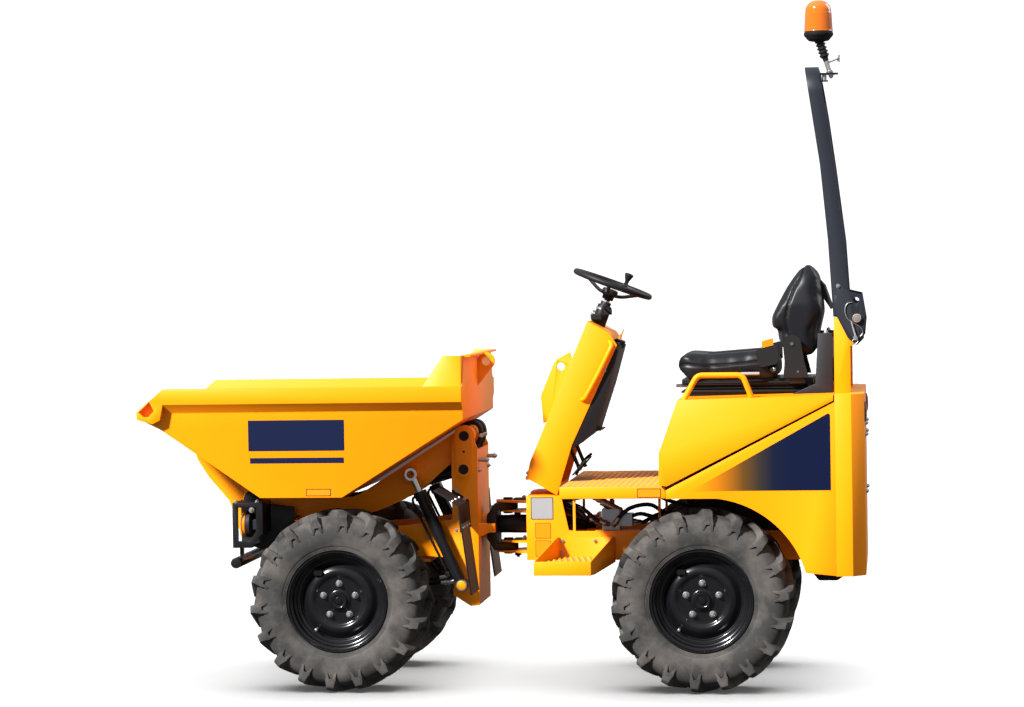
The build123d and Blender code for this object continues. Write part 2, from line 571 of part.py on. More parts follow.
with BuildPart() as tip_barrel:
    rod_y(TIP_BARREL_RADIUS, TIP_RAM_BASE, -25, 25)
    rod_slanted(TIP_BARREL_RADIUS, TIP_RAM_BASE, TIP_DIRECTION, 0, 20, TIP_BARREL_END)
    rod_slanted(TIP_BARREL_RADIUS + 3, TIP_RAM_BASE, TIP_DIRECTION, 0, TIP_BARREL_END - 36,
                TIP_BARREL_END - 2)
    rod_slanted(TIP_ROD_RADIUS + RUNNING_GAP, TIP_RAM_BASE, TIP_DIRECTION, 0, 320, TIP_BARREL_END + 1,
                Mode.SUBTRACT)
    rod_y(RAM_PIN_RADIUS + RUNNING_GAP, TIP_RAM_BASE, -26, 26, Mode.SUBTRACT)
save(tip_barrel, "tip_barrel")
with BuildPart() as tip_rod:
    rod_slanted(TIP_ROD_RADIUS, TIP_RAM_BASE, TIP_DIRECTION, 0, TIP_BARREL_END - 60, TIP_LENGTH - 10)
    rod_y(TIP_BARREL_RADIUS, TIP_RAM_EYE, -25, 25)
save(tip_rod, "tip_rod")

# ---------------------------------------------------------------- skip
WALL_Y = SKIP_HALF_WIDTH - SKIP_RIM_OUT
SKIP_OUTER = (  # the tub seen from the side
    (SKIP_BACK_X, 1118), (646, SKIP_FLOOR_Z), (989, SKIP_FLOOR_Z), (1405, 1088), (1494, 1130),
    (SKIP_LIP_X, SKIP_LIP_Z), (1385, SKIP_RIM_Z), (301, SKIP_RIM_Z), (217, SKIP_BACK_TOP_Z),
    (SKIP_BACK_X, SKIP_BACK_TOP_Z),
)
SKIP_INNER = (  # the same, inside the sheet, open over the rim and the lip
    (SKIP_BACK_X + SKIP_WALL, 1122), (648, SKIP_FLOOR_Z + SKIP_WALL), (987, SKIP_FLOOR_Z + SKIP_WALL),
    (1402, 1094.5), (1520, 1150), (1520, 1420), (SKIP_BACK_X + SKIP_WALL, 1420),
)
BAND_SECTION = ((WALL_Y - 2, SKIP_BAND_FOOT_Z), (SKIP_HALF_WIDTH, SKIP_BAND_FOLD_Z),
                (SKIP_HALF_WIDTH, SKIP_RIM_Z), (WALL_Y - 2, SKIP_RIM_Z))
CHEEK_RECESS = ((1487, 1163), (1467, 1141), (1447, 1141), (1422, 1167), (1442, 1206), (1464, 1182))
with BuildPart() as skip:
    plate(SKIP_OUTER, -WALL_Y, WALL_Y)
    for side in (1, -1):
        # the rim band stands out from the wall and deepens to a cheek at the lip
        section = [(side * y, z) for y, z in BAND_SECTION]
        across(section, SKIP_BACK_X, 1385)
        y_low, y_high = between(side, WALL_Y - 2, SKIP_HALF_WIDTH)
        plate(((1385, SKIP_RIM_Z), (1385, SKIP_BAND_FOLD_Z), (1398, 1128), (1430, 1112), (1494, 1131),
               (SKIP_LIP_X, SKIP_LIP_Z)), y_low, y_high)
        plate(CHEEK_RECESS, *between(side, WALL_Y + 4, SKIP_HALF_WIDTH + 1), Mode.SUBTRACT)
        plate(((301, SKIP_RIM_Z - 10), (301, SKIP_RIM_Z), (217, SKIP_BACK_TOP_Z),
               (SKIP_BACK_X, SKIP_BACK_TOP_Z),
               (SKIP_BACK_X, SKIP_RIM_Z - 10)), *between(side, WALL_Y - 8, WALL_Y))
    plate(SKIP_INNER, -WALL_Y + SKIP_WALL, WALL_Y - SKIP_WALL, Mode.SUBTRACT)
    # the headboard's ears are cut slanted
    for side in (1, -1):
        across(((side * (WALL_Y + 30), SKIP_RIM_Z + 1), (side * (WALL_Y + 30), 1400), (side * 350, 1400),
                (side * 388, SKIP_BACK_TOP_Z), (side * WALL_Y, SKIP_RIM_Z + 1)), 100, 143, Mode.SUBTRACT)
    # stiffening strip and lifting eye on the back
    plate(((SKIP_BACK_X + 1, SKIP_BACK_TOP_Z), (SKIP_BACK_X + 1, SKIP_BACK_TOP_Z - 8),
           (112, SKIP_BACK_TOP_Z - 8), (112, SKIP_BACK_TOP_Z)), -386, 386)
    plate(((SKIP_BACK_X + 1, 1350), (SKIP_BACK_X + 1, 1236), (70, 1322)), -6, 6)
    rod_y(37, (101, 1341), -6, 6)
    block(SKIP_BACK_X, SKIP_BACK_X + 6, -6, 6, 1300, 1350)
    rod_y(19, (100, 1341), -7, 7, Mode.SUBTRACT)
    for side in (1, -1):
        # lugs on the pivot shaft with the rails under the floor
        y_low, y_high = between(side, *LUG_PLATE)
        plate(((772, SKIP_FLOOR_Z + 2), (754, 792), (749, 776), (760, 762), (1010, 760), (1062, 744),
               (1118, 744), (1134, 790), (1158, 920), (992, SKIP_FLOOR_Z + 3)), y_low, y_high)
        rod_y(42, SKIP_PIVOT, y_low, y_high)
        # the bracket that the tip ram pulls on
        y_low, y_high = between(side, 32, 44)
        plate(((1139, 902), (1137, 700), (1110, 640), (1112, 612), (1140, 595), (1166, 610), (1214, 757),
               (1302, 860), (1350, 935), (1392, 1082)), y_low, y_high)
        rod_y(30, TIP_RAM_EYE, *between(side, 32, 52))
    rod_y(SKIP_PIVOT_RADIUS + RUNNING_GAP, SKIP_PIVOT, -LUG_PLATE[1] - 1, LUG_PLATE[1] + 1, Mode.SUBTRACT)
save(skip, "skip")

# ---------------------------------------------------------------- rear chassis
RAIL_IN = CHASSIS_HALF_WIDTH - CHASSIS_PLATE
CLEVIS_PLATES = (  # middle height, nose radius
    (CLEVIS_UPPER_Z, 50),
    (CLEVIS_UPPER_Z - CLEVIS_GAP - CLEVIS_PLATE, 34),
    (CLEVIS_LOWER_Z + CLEVIS_GAP + CLEVIS_PLATE, 34),
    (CLEVIS_LOWER_Z, 50),
)
with BuildPart() as rear_chassis:
    for side in (1, -1):
        plate(((NOSE_FRONT_X, NOSE_TOP_Z), (-232, NOSE_TOP_Z), (NOSE_REAR_X, 640), (-292, CHASSIS_RAIL_Z),
               (CHASSIS_REAR_X, CHASSIS_RAIL_Z), (CHASSIS_REAR_X, CHASSIS_BOTTOM_Z),
               (NOSE_FRONT_X, CHASSIS_BOTTOM_Z)),
              *between(side, RAIL_IN, CHASSIS_HALF_WIDTH))
        # flange along the top of the rail
        block(CHASSIS_REAR_X, -370, *between(side, RAIL_IN - 40, CHASSIS_HALF_WIDTH),
              CHASSIS_RAIL_Z - 8, CHASSIS_RAIL_Z)
    block(NOSE_FRONT_X - CHASSIS_PLATE, NOSE_FRONT_X, -RAIL_IN - 1, RAIL_IN + 1, CHASSIS_BOTTOM_Z,
          NOSE_TOP_Z)
    block(NOSE_FRONT_X - CHASSIS_PLATE - 1, NOSE_FRONT_X + 1, -FRAME_HALF_WIDTH, FRAME_HALF_WIDTH, 595,
          690, Mode.SUBTRACT)
    block(-232, NOSE_FRONT_X, -RAIL_IN - 1, RAIL_IN + 1, NOSE_TOP_Z - 8, NOSE_TOP_Z)
    block(-360, NOSE_FRONT_X, -RAIL_IN - 1, RAIL_IN + 1, CHASSIS_BOTTOM_Z, CHASSIS_BOTTOM_Z + 8)
    for beam_x in (-660, -1000, CHASSIS_REAR_X):
        block(beam_x, beam_x + 10, -RAIL_IN - 1, RAIL_IN + 1, CHASSIS_BOTTOM_Z, 560)
    block(REAR_AXLE_X - AXLE_PAD, REAR_AXLE_X + AXLE_PAD, -RAIL_IN - 1, RAIL_IN + 1,
          CHASSIS_BOTTOM_Z - 12, CHASSIS_BOTTOM_Z)
    for plate_z, nose_radius in CLEVIS_PLATES:
        with BuildSketch(Plane.XY.offset(plate_z - CLEVIS_PLATE / 2)) as clevis_plan:
            with Locations((STEER_X, 0)):
                Circle(nose_radius)
            with Locations((NOSE_FRONT_X - 3, 0)):
                Rectangle(6, 2 * nose_radius + 120)
            make_hull()
        extrude(clevis_plan.sketch, amount=CLEVIS_PLATE)
    rod_z(STEER_PIN_RADIUS + RUNNING_GAP, STEER_X, 0, CLEVIS_LOWER_Z - 20, CLEVIS_UPPER_Z + 20,
          Mode.SUBTRACT)
    # the lugs and pin at the base of the steering ram
    block(STEER_RAM_BASE_X - 40, STEER_RAM_BASE_X - 28, -RAIL_IN - 1, -90, CHASSIS_BOTTOM_Z, 684)
    for plate_z in (STEER_RAM_Z - 33, STEER_RAM_Z + 21):
        slab(((STEER_RAM_BASE_X - 30, -168), (STEER_RAM_BASE_X + 10, -162), (STEER_RAM_BASE_X + 10, -118),
              (STEER_RAM_BASE_X - 30, -112)), plate_z, plate_z + 12)
    rod_z(RAM_PIN_RADIUS, STEER_RAM_BASE_X, STEER_FORK_Y, STEER_RAM_Z - 34, STEER_RAM_Z + 34)
    # deck stays
    for side in (1, -1):
        for stay_x in (-285, -640):
            block(stay_x - 5, stay_x + 5, *between(side, 176, RAIL_IN + 1), CHASSIS_RAIL_Z - 8,
                  DECK_TOP_Z - DECK_SHEET - SEAT_GAP)
save(rear_chassis, "rear_chassis")

with BuildPart() as rear_axle:
    add_axle(REAR_AXLE_X)
    block(REAR_AXLE_X - AXLE_PAD, REAR_AXLE_X + AXLE_PAD, -RAIL_IN + 30, RAIL_IN - 30,
          AXLE_Z + 30, CHASSIS_BOTTOM_Z - 12 - SEAT_GAP)
save(rear_axle, "rear_axle")

with BuildPart() as steer_ram_barrel:
    rod_z(28, STEER_RAM_BASE_X, STEER_FORK_Y, STEER_RAM_Z - 20, STEER_RAM_Z + 20)
    rod_x(28, STEER_FORK_Y, STEER_RAM_Z, STEER_RAM_BASE_X + 22, -128)
    rod_x(32, STEER_FORK_Y, STEER_RAM_Z, -160, -130)
    rod_x(LIFT_ROD_RADIUS + RUNNING_GAP, STEER_FORK_Y, STEER_RAM_Z, STEER_RAM_BASE_X + 22, -127,
          Mode.SUBTRACT)
    rod_z(RAM_PIN_RADIUS + SEAT_GAP, STEER_RAM_BASE_X, STEER_FORK_Y, STEER_RAM_Z - 21, STEER_RAM_Z + 21,
          Mode.SUBTRACT)
save(steer_ram_barrel, "steer_ram_barrel")
with BuildPart() as steer_ram_rod:
    rod_x(LIFT_ROD_RADIUS, STEER_FORK_Y, STEER_RAM_Z, -222, STEER_X - 8)
    rod_z(20, STEER_X, STEER_FORK_Y, STEER_RAM_Z - STEER_EYE_WIDTH / 2 + SIDE_GAP,
          STEER_RAM_Z + STEER_EYE_WIDTH / 2 - SIDE_GAP)
save(steer_ram_rod, "steer_ram_rod")

with BuildPart() as valve_block:
    block(-470, -396, 40, 150, CHASSIS_BOTTOM_Z + 60, 722)
    block(-520, -468, 50, 130, 650, 700)
    for port_y in (58, 86, 114):
        rod_x(13, port_y, 668, -398, -376)
    for port_x in (-452, -416):
        rod_y(14, (port_x, 664), 148, 164)
    rod_slanted(17, (-400, 748), (-90, -50), 112, -10, 84)
save(valve_block, "valve_block")

# ---------------------------------------------------------------- deck and steps
with BuildPart() as deck_plate:
    block(DECK_REAR_X, DECK_FRONT_X, -DECK_HALF_WIDTH, DECK_HALF_WIDTH, DECK_SKIRT_Z, DECK_TOP_Z)
    block(DECK_REAR_X + DECK_SHEET, DECK_FRONT_X - DECK_SHEET, -DECK_HALF_WIDTH + DECK_SHEET,
          DECK_HALF_WIDTH - DECK_SHEET, DECK_SKIRT_Z - 1, DECK_TOP_Z - DECK_SHEET, Mode.SUBTRACT)
save(deck_plate, "deck_plate")

STEP_IN = CHASSIS_HALF_WIDTH + SEAT_GAP
with BuildPart() as side_steps:
    for side in (1, -1):
        out_y, in_y = side * STEP_HALF_WIDTH, side * STEP_IN
        slab(((-222, in_y), (-148, out_y), (-382, out_y), (-456, in_y)), 482, 612)
        # a tray over the tread and a recess under it leave the sheet
        out_y, in_y = side * (STEP_HALF_WIDTH - STEP_SHEET), side * (STEP_IN + STEP_SHEET)
        hollow = ((-225, in_y), (-153, out_y), (-379, out_y), (-451, in_y))
        slab(hollow, STEP_TREAD_Z, 613, Mode.SUBTRACT)
        slab(hollow, 481, STEP_TREAD_Z - STEP_SHEET, Mode.SUBTRACT)
        # the cheeks and the back slope down to the tread's outer lip
        across(((side * (STEP_IN + 30), 613), (side * (STEP_HALF_WIDTH + 2), 537),
                (side * (STEP_HALF_WIDTH + 2), 613)),
               -480, -130, Mode.SUBTRACT)
        across(((side * (STEP_IN - 2), 508), (side * (STEP_HALF_WIDTH - 40), 481),
                (side * (STEP_IN - 2), 481)),
               -480, -130, Mode.SUBTRACT)
save(side_steps, "side_steps")

# ---------------------------------------------------------------- console and steering
TILT = radians(WHEEL_TILT)
AXIS_DOWN = (sin(TILT), -cos(TILT))   # X, Z direction from the wheel's centre into the column
CONSOLE_OUTLINE = (
    (-85, 856), (-211, NOSE_TOP_Z + SEAT_GAP), (-277, 992), (-472, 1406), (-439, 1456), (-349, 1507),
    (-100, 923),
)
CONSOLE_HOLLOW = (
    (-92, 862), (-207, 792), (-300, 985), (-500, 1400), (-446, 1436), (-352, 1496), (-106, 924),
)
with BuildPart() as console:
    plate(CONSOLE_OUTLINE, -CONSOLE_HALF_WIDTH, CONSOLE_HALF_WIDTH)
    inner = CONSOLE_HALF_WIDTH - CONSOLE_SHEET
    plate(CONSOLE_HOLLOW, -inner, inner, Mode.SUBTRACT)
    block(-262, -86, -60, 60, NOSE_TOP_Z + SEAT_GAP, NOSE_TOP_Z + 8)
    block(-100, -80, -inner, inner, 848, 862)
    # the ear in the middle that locks the two halves together
    plate(((-257, 1374), (-200, 1345), (-186, 1325), (-130, 1190), (-139, 1076), (-190, 1090),
           (-270, 1320)), -5, 5)
    rod_y(17, (-217, 1314), -6, 6, Mode.SUBTRACT)
    rod_slanted(COLUMN_RADIUS + SEAT_GAP, STEERING_CENTRE, AXIS_DOWN, 0, 90, 190, Mode.SUBTRACT)
save(console, "console")

with BuildPart() as dash:
    plate(((-480, 1401), (-437, 1246), (-370, 1044), (-284, 980), (-262, 978), (-320, 1098), (-456, 1396)),
          -CONSOLE_HALF_WIDTH + CONSOLE_SHEET + SEAT_GAP, CONSOLE_HALF_WIDTH - CONSOLE_SHEET - SEAT_GAP)
    # foot pedals on their levers
    for pedal_y in (-110, 110):
        rod_slanted(8, (-262, 985), (-40, -100), pedal_y, 0, 112)
        plate(((-272, 866), (-324, 926), (-328, 922), (-276, 862)), pedal_y - 32, pedal_y + 32)
save(dash, "dash")

with BuildPart() as steering_column:
    rod_slanted(COLUMN_RADIUS, STEERING_CENTRE, AXIS_DOWN, 0, 96, 186)
    rod_slanted(22, STEERING_CENTRE, AXIS_DOWN, 0, HUB_DROP + 34, 97)
    rod_slanted(12, STEERING_CENTRE, AXIS_DOWN, 0, HUB_DROP - 6, HUB_DROP + 35)
    block(-440, -410, 28, 62, 1530, 1552)
save(steering_column, "steering_column")

wheel_up = (-sin(TILT), 0, cos(TILT))
wheel_face = Plane(origin=(STEERING_CENTRE[0], 0, STEERING_CENTRE[1]), x_dir=(cos(TILT), 0, sin(TILT)),
                   z_dir=wheel_up)
GRIP_MIDDLE = STEERING_RADIUS - STEERING_GRIP_RADIUS
with BuildPart() as steering_wheel:
    with BuildSketch(Plane(origin=wheel_face.origin, x_dir=wheel_face.x_dir, z_dir=(0, -1, 0))) as grip:
        with Locations((GRIP_MIDDLE, 0)):
            RegularPolygon(STEERING_GRIP_RADIUS, 8)
    revolve(grip.sketch, axis=Axis(wheel_face.origin, wheel_up))
    rod_slanted(34, STEERING_CENTRE, AXIS_DOWN, 0, HUB_DROP - 22, HUB_DROP + 24)
    for turn in (90, 210, 330):
        direction = radians(turn)
        outward = wheel_face.x_dir * cos(direction) + wheel_face.y_dir * sin(direction)
        low = wheel_face.origin - wheel_face.z_dir * HUB_DROP + outward * 22
        high = wheel_face.origin + outward * GRIP_MIDDLE
        spoke_plane = Plane(origin=low, z_dir=high - low)
        with BuildSketch(spoke_plane) as spoke:
            Circle(8)
        extrude(spoke.sketch, amount=(high - low).length)
    knob_y = -GRIP_MIDDLE * sin(radians(76))
    knob = wheel_face.origin + wheel_face.x_dir * (-GRIP_MIDDLE * cos(radians(76))) + Vector(0, knob_y, 0)
    for radius, low, high in ((8, 0, 26), (19, 24, 58)):
        with BuildSketch(Plane(origin=knob + wheel_face.z_dir * low, z_dir=wheel_up)) as stem:
            Circle(radius)
        extrude(stem.sketch, amount=high - low)
    rod_slanted(12 + RUNNING_GAP, STEERING_CENTRE, AXIS_DOWN, 0, HUB_DROP - 8, HUB_DROP + 25, Mode.SUBTRACT)
save(steering_wheel, "steering_wheel")

# ---------------------------------------------------------------- rear body
LINING_IN = CHASSIS_HALF_WIDTH + 5
BODY_IN = BODY_HALF_WIDTH - BODY_SHEET
COUNTERWEIGHT_X = BODY_REAR_X - 5   # front face of the counterweight
ARCH_TOP = (-893.0, BODY_BOTTOM_Z)
ARCH_FOOT = (-1249.0, 491.0)
ARCH_MIDDLE = (REAR_AXLE_X - ARCH_RADIUS * cos(radians(49)), AXLE_Z + ARCH_RADIUS * sin(radians(49)))
with BuildPart() as body_sides:
    for side in (1, -1):
        with BuildSketch(side_plane(max(side * BODY_IN, side * BODY_HALF_WIDTH))) as panel:
            with BuildLine():
                Polyline(ARCH_TOP, (BODY_FRONT_X, BODY_BOTTOM_Z), (BODY_FRONT_X, SPLIT_FRONT_Z),
                         (COUNTERWEIGHT_X + SEAT_GAP, SPLIT_REAR_Z - 4),
                         (COUNTERWEIGHT_X + SEAT_GAP, 479), ARCH_FOOT)
                ThreePointArc(ARCH_FOOT, ARCH_MIDDLE, ARCH_TOP)
            make_face()
        extrude(panel.sketch, amount=BODY_SHEET)
        # lining of the wheel arch, front wall and floor
        lining_low, lining_high = between(side, LINING_IN, BODY_HALF_WIDTH)
        with BuildSketch(side_plane(lining_high)) as lining:
            with BuildLine():
                ThreePointArc(ARCH_FOOT, ARCH_MIDDLE, ARCH_TOP)
                Line(ARCH_TOP, (ARCH_TOP[0], ARCH_TOP[1] + BODY_SHEET))
                ThreePointArc((ARCH_TOP[0], ARCH_TOP[1] + BODY_SHEET),
                              (ARCH_MIDDLE[0] - 3, ARCH_MIDDLE[1] + 3),
                              (ARCH_FOOT[0] - BODY_SHEET, ARCH_FOOT[1]))
                Line((ARCH_FOOT[0] - BODY_SHEET, ARCH_FOOT[1]), ARCH_FOOT)
            make_face()
        extrude(lining.sketch, amount=lining_high - lining_low)
        block(ARCH_TOP[0], BODY_FRONT_X, lining_low, lining_high, BODY_BOTTOM_Z, BODY_BOTTOM_Z + BODY_SHEET)
        block(BODY_FRONT_X - BODY_SHEET, BODY_FRONT_X, lining_low, lining_high, BODY_BOTTOM_Z,
              SPLIT_FRONT_Z - 4)
save(body_sides, "body_sides")

with BuildPart() as counterweight:
    slab(((COUNTERWEIGHT_X, -BODY_HALF_WIDTH), (REAR_X + REAR_CHAMFER, -BODY_HALF_WIDTH),
          (REAR_X, -BODY_HALF_WIDTH + REAR_CHAMFER), (REAR_X, BODY_HALF_WIDTH - REAR_CHAMFER),
          (REAR_X + REAR_CHAMFER, BODY_HALF_WIDTH), (COUNTERWEIGHT_X, BODY_HALF_WIDTH)), REAR_BOTTOM_Z,
         1207)
    # lugs and pins of the engine cover's hinge
    for side in (1, -1):
        y_low, y_high = between(side, 132, 142)
        plate(((-1358, 1234), (-1380, 1232), (-1410, 1206), (-1372, 1206), (-1366, 1213),
               (-1358, 1210)), y_low, y_high)
        rod_y(12, COVER_HINGE, y_low, y_high)
        rod_y(6, COVER_HINGE, *between(side, 116, 133))
save(counterweight, "counterweight")

with BuildPart() as engine_block:
    block(-1230, -800, -145, 145, CHASSIS_BOTTOM_Z + 60, 1060)
    block(-1210, -820, -120, 120, 1058, 1120)
    block(-1320, -1229, -120, 120, 640, 940)
    # feet on the rails
    for foot_x in (-860, -1160):
        block(foot_x - 25, foot_x + 25, -RAIL_IN + SEAT_GAP, RAIL_IN - SEAT_GAP, 600, 618)
    # the pan that shows under the counterweight
    plate(((-1250, 600), (-1300, 600), (-1300, REAR_BOTTOM_Z - SEAT_GAP),
           (-1400, REAR_BOTTOM_Z - SEAT_GAP), (-1400, 440),
           (-1366, 418), (-1290, 418), (-1250, 470)), -100, 100)
    block(-1300, -1229, -100, 100, 560, 660)
save(engine_block, "engine_block")

# ---------------------------------------------------------------- engine cover
COVER_OUTLINE = (
    (COVER_FRONT_X, 848), (COVER_FRONT_X - 2, 974), COVER_TOP_FRONT, (BODY_REAR_X, COVER_TOP_REAR_Z),
    (BODY_REAR_X, SPLIT_REAR_Z - 4 + COVER_SEAM), (-694, SPLIT_FRONT_Z + COVER_SEAM + 10),
)
COVER_HOLLOW = (
    (COVER_FRONT_X - BODY_SHEET, 800), (COVER_FRONT_X - 2 - BODY_SHEET, 973),
    (COVER_TOP_FRONT[0] - 3, COVER_TOP_FRONT[1] - BODY_SHEET),
    (BODY_REAR_X - 10, COVER_TOP_REAR_Z - BODY_SHEET), (BODY_REAR_X - 10, 800),
)
with BuildPart() as engine_cover:
    plate(COVER_OUTLINE, -BODY_HALF_WIDTH, BODY_HALF_WIDTH)
    plate(COVER_HOLLOW, -BODY_IN, BODY_IN, Mode.SUBTRACT)
    for side in (1, -1):
        y_low, y_high = between(side, 118, 130)
        plate(((-1358, 1232), (-1330, 1202), (-1330, 1198), (-1362, 1199), (-1362, 1215)), y_low, y_high)
        rod_y(11, COVER_HINGE, y_low, y_high)
        rod_y(6 + RUNNING_GAP, COVER_HINGE, y_low - 1, y_high + 1, Mode.SUBTRACT)
    # T-handle of the catch
    rod_x(7, 0, 929, COVER_FRONT_X - 4, -644)
    rod_y(6, (-646, 929), -26, 26)
    # grab rails
    for side in (1, -1):
        with BuildLine() as rail_path:
            rail_y = side * (BODY_HALF_WIDTH - 35)
            FilletPolyline((-765, rail_y, 1188), (-822, rail_y, 1287), (-1005, rail_y, 1287),
                           (-1039, rail_y, 1198), radius=34)
        with BuildSketch(Plane(origin=rail_path.line @ 0, z_dir=rail_path.line % 0)) as rail_section:
            RegularPolygon(11.5, 10)
        sweep(rail_section.sketch, path=rail_path.line)
save(engine_cover, "engine_cover")

def on_cover(x):
    """The height at X of a piece that rests on the engine cover."""
    rise = (COVER_TOP_REAR_Z - COVER_TOP_FRONT[1]) / (COVER_TOP_FRONT[0] - BODY_REAR_X)
    return COVER_TOP_FRONT[1] + rise * (COVER_TOP_FRONT[0] - x) + SEAT_GAP


with BuildPart() as belt_tower:
    for side in (1, -1):
        y_low, y_high = between(side, 200, 255)
        plate(((-1303, 1446), (-1361, 1446), (-1361, on_cover(-1361)), (-1198, on_cover(-1198)),
               (-1290, 1240)),
              y_low, y_high)
    plate(((-1330, 1420), (-1361, 1420), (-1361, 1340), (-1330, 1340)), -201, 201)
save(belt_tower, "belt_tower")

# ---------------------------------------------------------------- seat
with BuildPart() as seat_base:
    plate(((-752, on_cover(-752)), (-752, 1216), (-1276, 1216), (-1276, on_cover(-1276))), -188, 188)
    block(-1262, -760, -176, 176, 1215, 1238)
    block(-1280, -742, -196, 196, 1237, SEAT_PAN_Z)
    # brackets that carry the back
    for side in (1, -1):
        y_low, y_high = between(side, BRACKET_IN, BRACKET_IN + 12)
        plate(((-1172, 1395), (-1185, SEAT_PAN_Z - 20), (-1250, SEAT_PAN_Z - 20), (-1222, 1395)), y_low,
              y_high)
        rod_y(28, (-1197, 1398), y_low, y_high)
        rod_y(18, (-1197, 1398), *between(side, SEAT_BACK_HALF + SEAT_GAP, BRACKET_IN + 1))
        block(-1250, -1185, *between(side, 190, BRACKET_IN + 12), SEAT_PAN_Z - 20, SEAT_PAN_Z - 8)
save(seat_base, "seat_base")

with BuildPart() as seat_cushion:
    plate(((CUSHION_REAR_X, SEAT_PAN_Z + SEAT_GAP), (-756, SEAT_PAN_Z + SEAT_GAP), (CUSHION_FRONT_X, 1318),
           (-726, 1368), (-850, 1358), (-1122, 1378), (CUSHION_REAR_X, 1330)), -SEAT_HALF_WIDTH,
          SEAT_HALF_WIDTH, corner=16)
    # the sitting hollow between the bolsters
    with BuildSketch(Plane.YZ.offset(CUSHION_REAR_X - 10)) as hollow:
        with BuildLine():
            Polyline((-150, 1390), (-112, 1340), (112, 1340), (150, 1390), close=True)
        make_face()
        fillet(hollow.vertices(), 20)
    extrude(hollow.sketch, amount=CUSHION_FRONT_X - CUSHION_REAR_X - 110, mode=Mode.SUBTRACT)
    with BuildSketch(Plane.XY.offset(SEAT_PAN_Z)):
        with Locations(((CUSHION_FRONT_X + CUSHION_REAR_X) / 2, 0)):
            RectangleRounded(CUSHION_FRONT_X - CUSHION_REAR_X, 2 * SEAT_HALF_WIDTH, CUSHION_CORNER)
    extrude(amount=160, mode=Mode.INTERSECT)
save(seat_cushion, "seat_cushion")

BACK_OUTLINE = (
    (-1141, 1450), (-1114, 1468), (-1112, 1512), (-1180, 1634), (-1225, 1700), (-1261, 1753), (-1299, 1698),
    (-1313, 1640), (-1321, 1533), (-1302, 1452), (-1286, 1346), (-1180, 1345), (-1148, 1382),
)
with BuildPart() as seat_back:
    plate(BACK_OUTLINE, -SEAT_BACK_HALF, SEAT_BACK_HALF, corner=14)
    # the hollow between the wings
    plate(((-1060, 1400), (-1160, 1470), (-1160, 1515), (-1216, 1640), (-1260, 1770), (-1060, 1770)),
          -116, 116, Mode.SUBTRACT, corner=16)
    # seen from the front the back narrows to a rounded head
    with BuildSketch(Plane.YZ.offset(-1400)) as head:
        with BuildLine():
            Polyline((-199, 1330), (199, 1330), (199, 1560), (150, 1760), (-150, 1760), (-199, 1560),
                     close=True)
        make_face()
        fillet(head.vertices().group_by(Axis.Y)[-1], 90)
        fillet(head.vertices().group_by(Axis.Y)[0], 40)
    extrude(head.sketch, amount=400, mode=Mode.INTERSECT)
save(seat_back, "seat_back")

# ---------------------------------------------------------------- roll-over frame
POST_IN = POST_HALF_SPACING - POST_WIDTH / 2
POST_OUT = POST_HALF_SPACING + POST_WIDTH / 2
with BuildPart() as rops_posts:
    for side in (1, -1):
        block(POST_X - POST_DEPTH / 2, POST_X + POST_DEPTH / 2, *between(side, POST_IN, POST_OUT),
              1207 + SEAT_GAP, POST_TOP_Z - 3)
        # lug behind the post for the hinge pin and the lock pin
        plate(((-1430, POST_TOP_Z - 3), (-1463, 1529), (-1485, 1507), (-1482, 1430), (-1462, 1404),
               (-1430, 1392)),
              *between(side, POST_IN, POST_OUT))
        rod_y(ROPS_PIN_RADIUS, ROPS_PIVOT, *between(side, POST_IN - 4, POST_OUT + 16))
        rod_y(18, ROPS_PIVOT, *between(side, POST_OUT + ROPS_PLATE + 4, POST_OUT + 17))
save(rops_posts, "rops_posts")

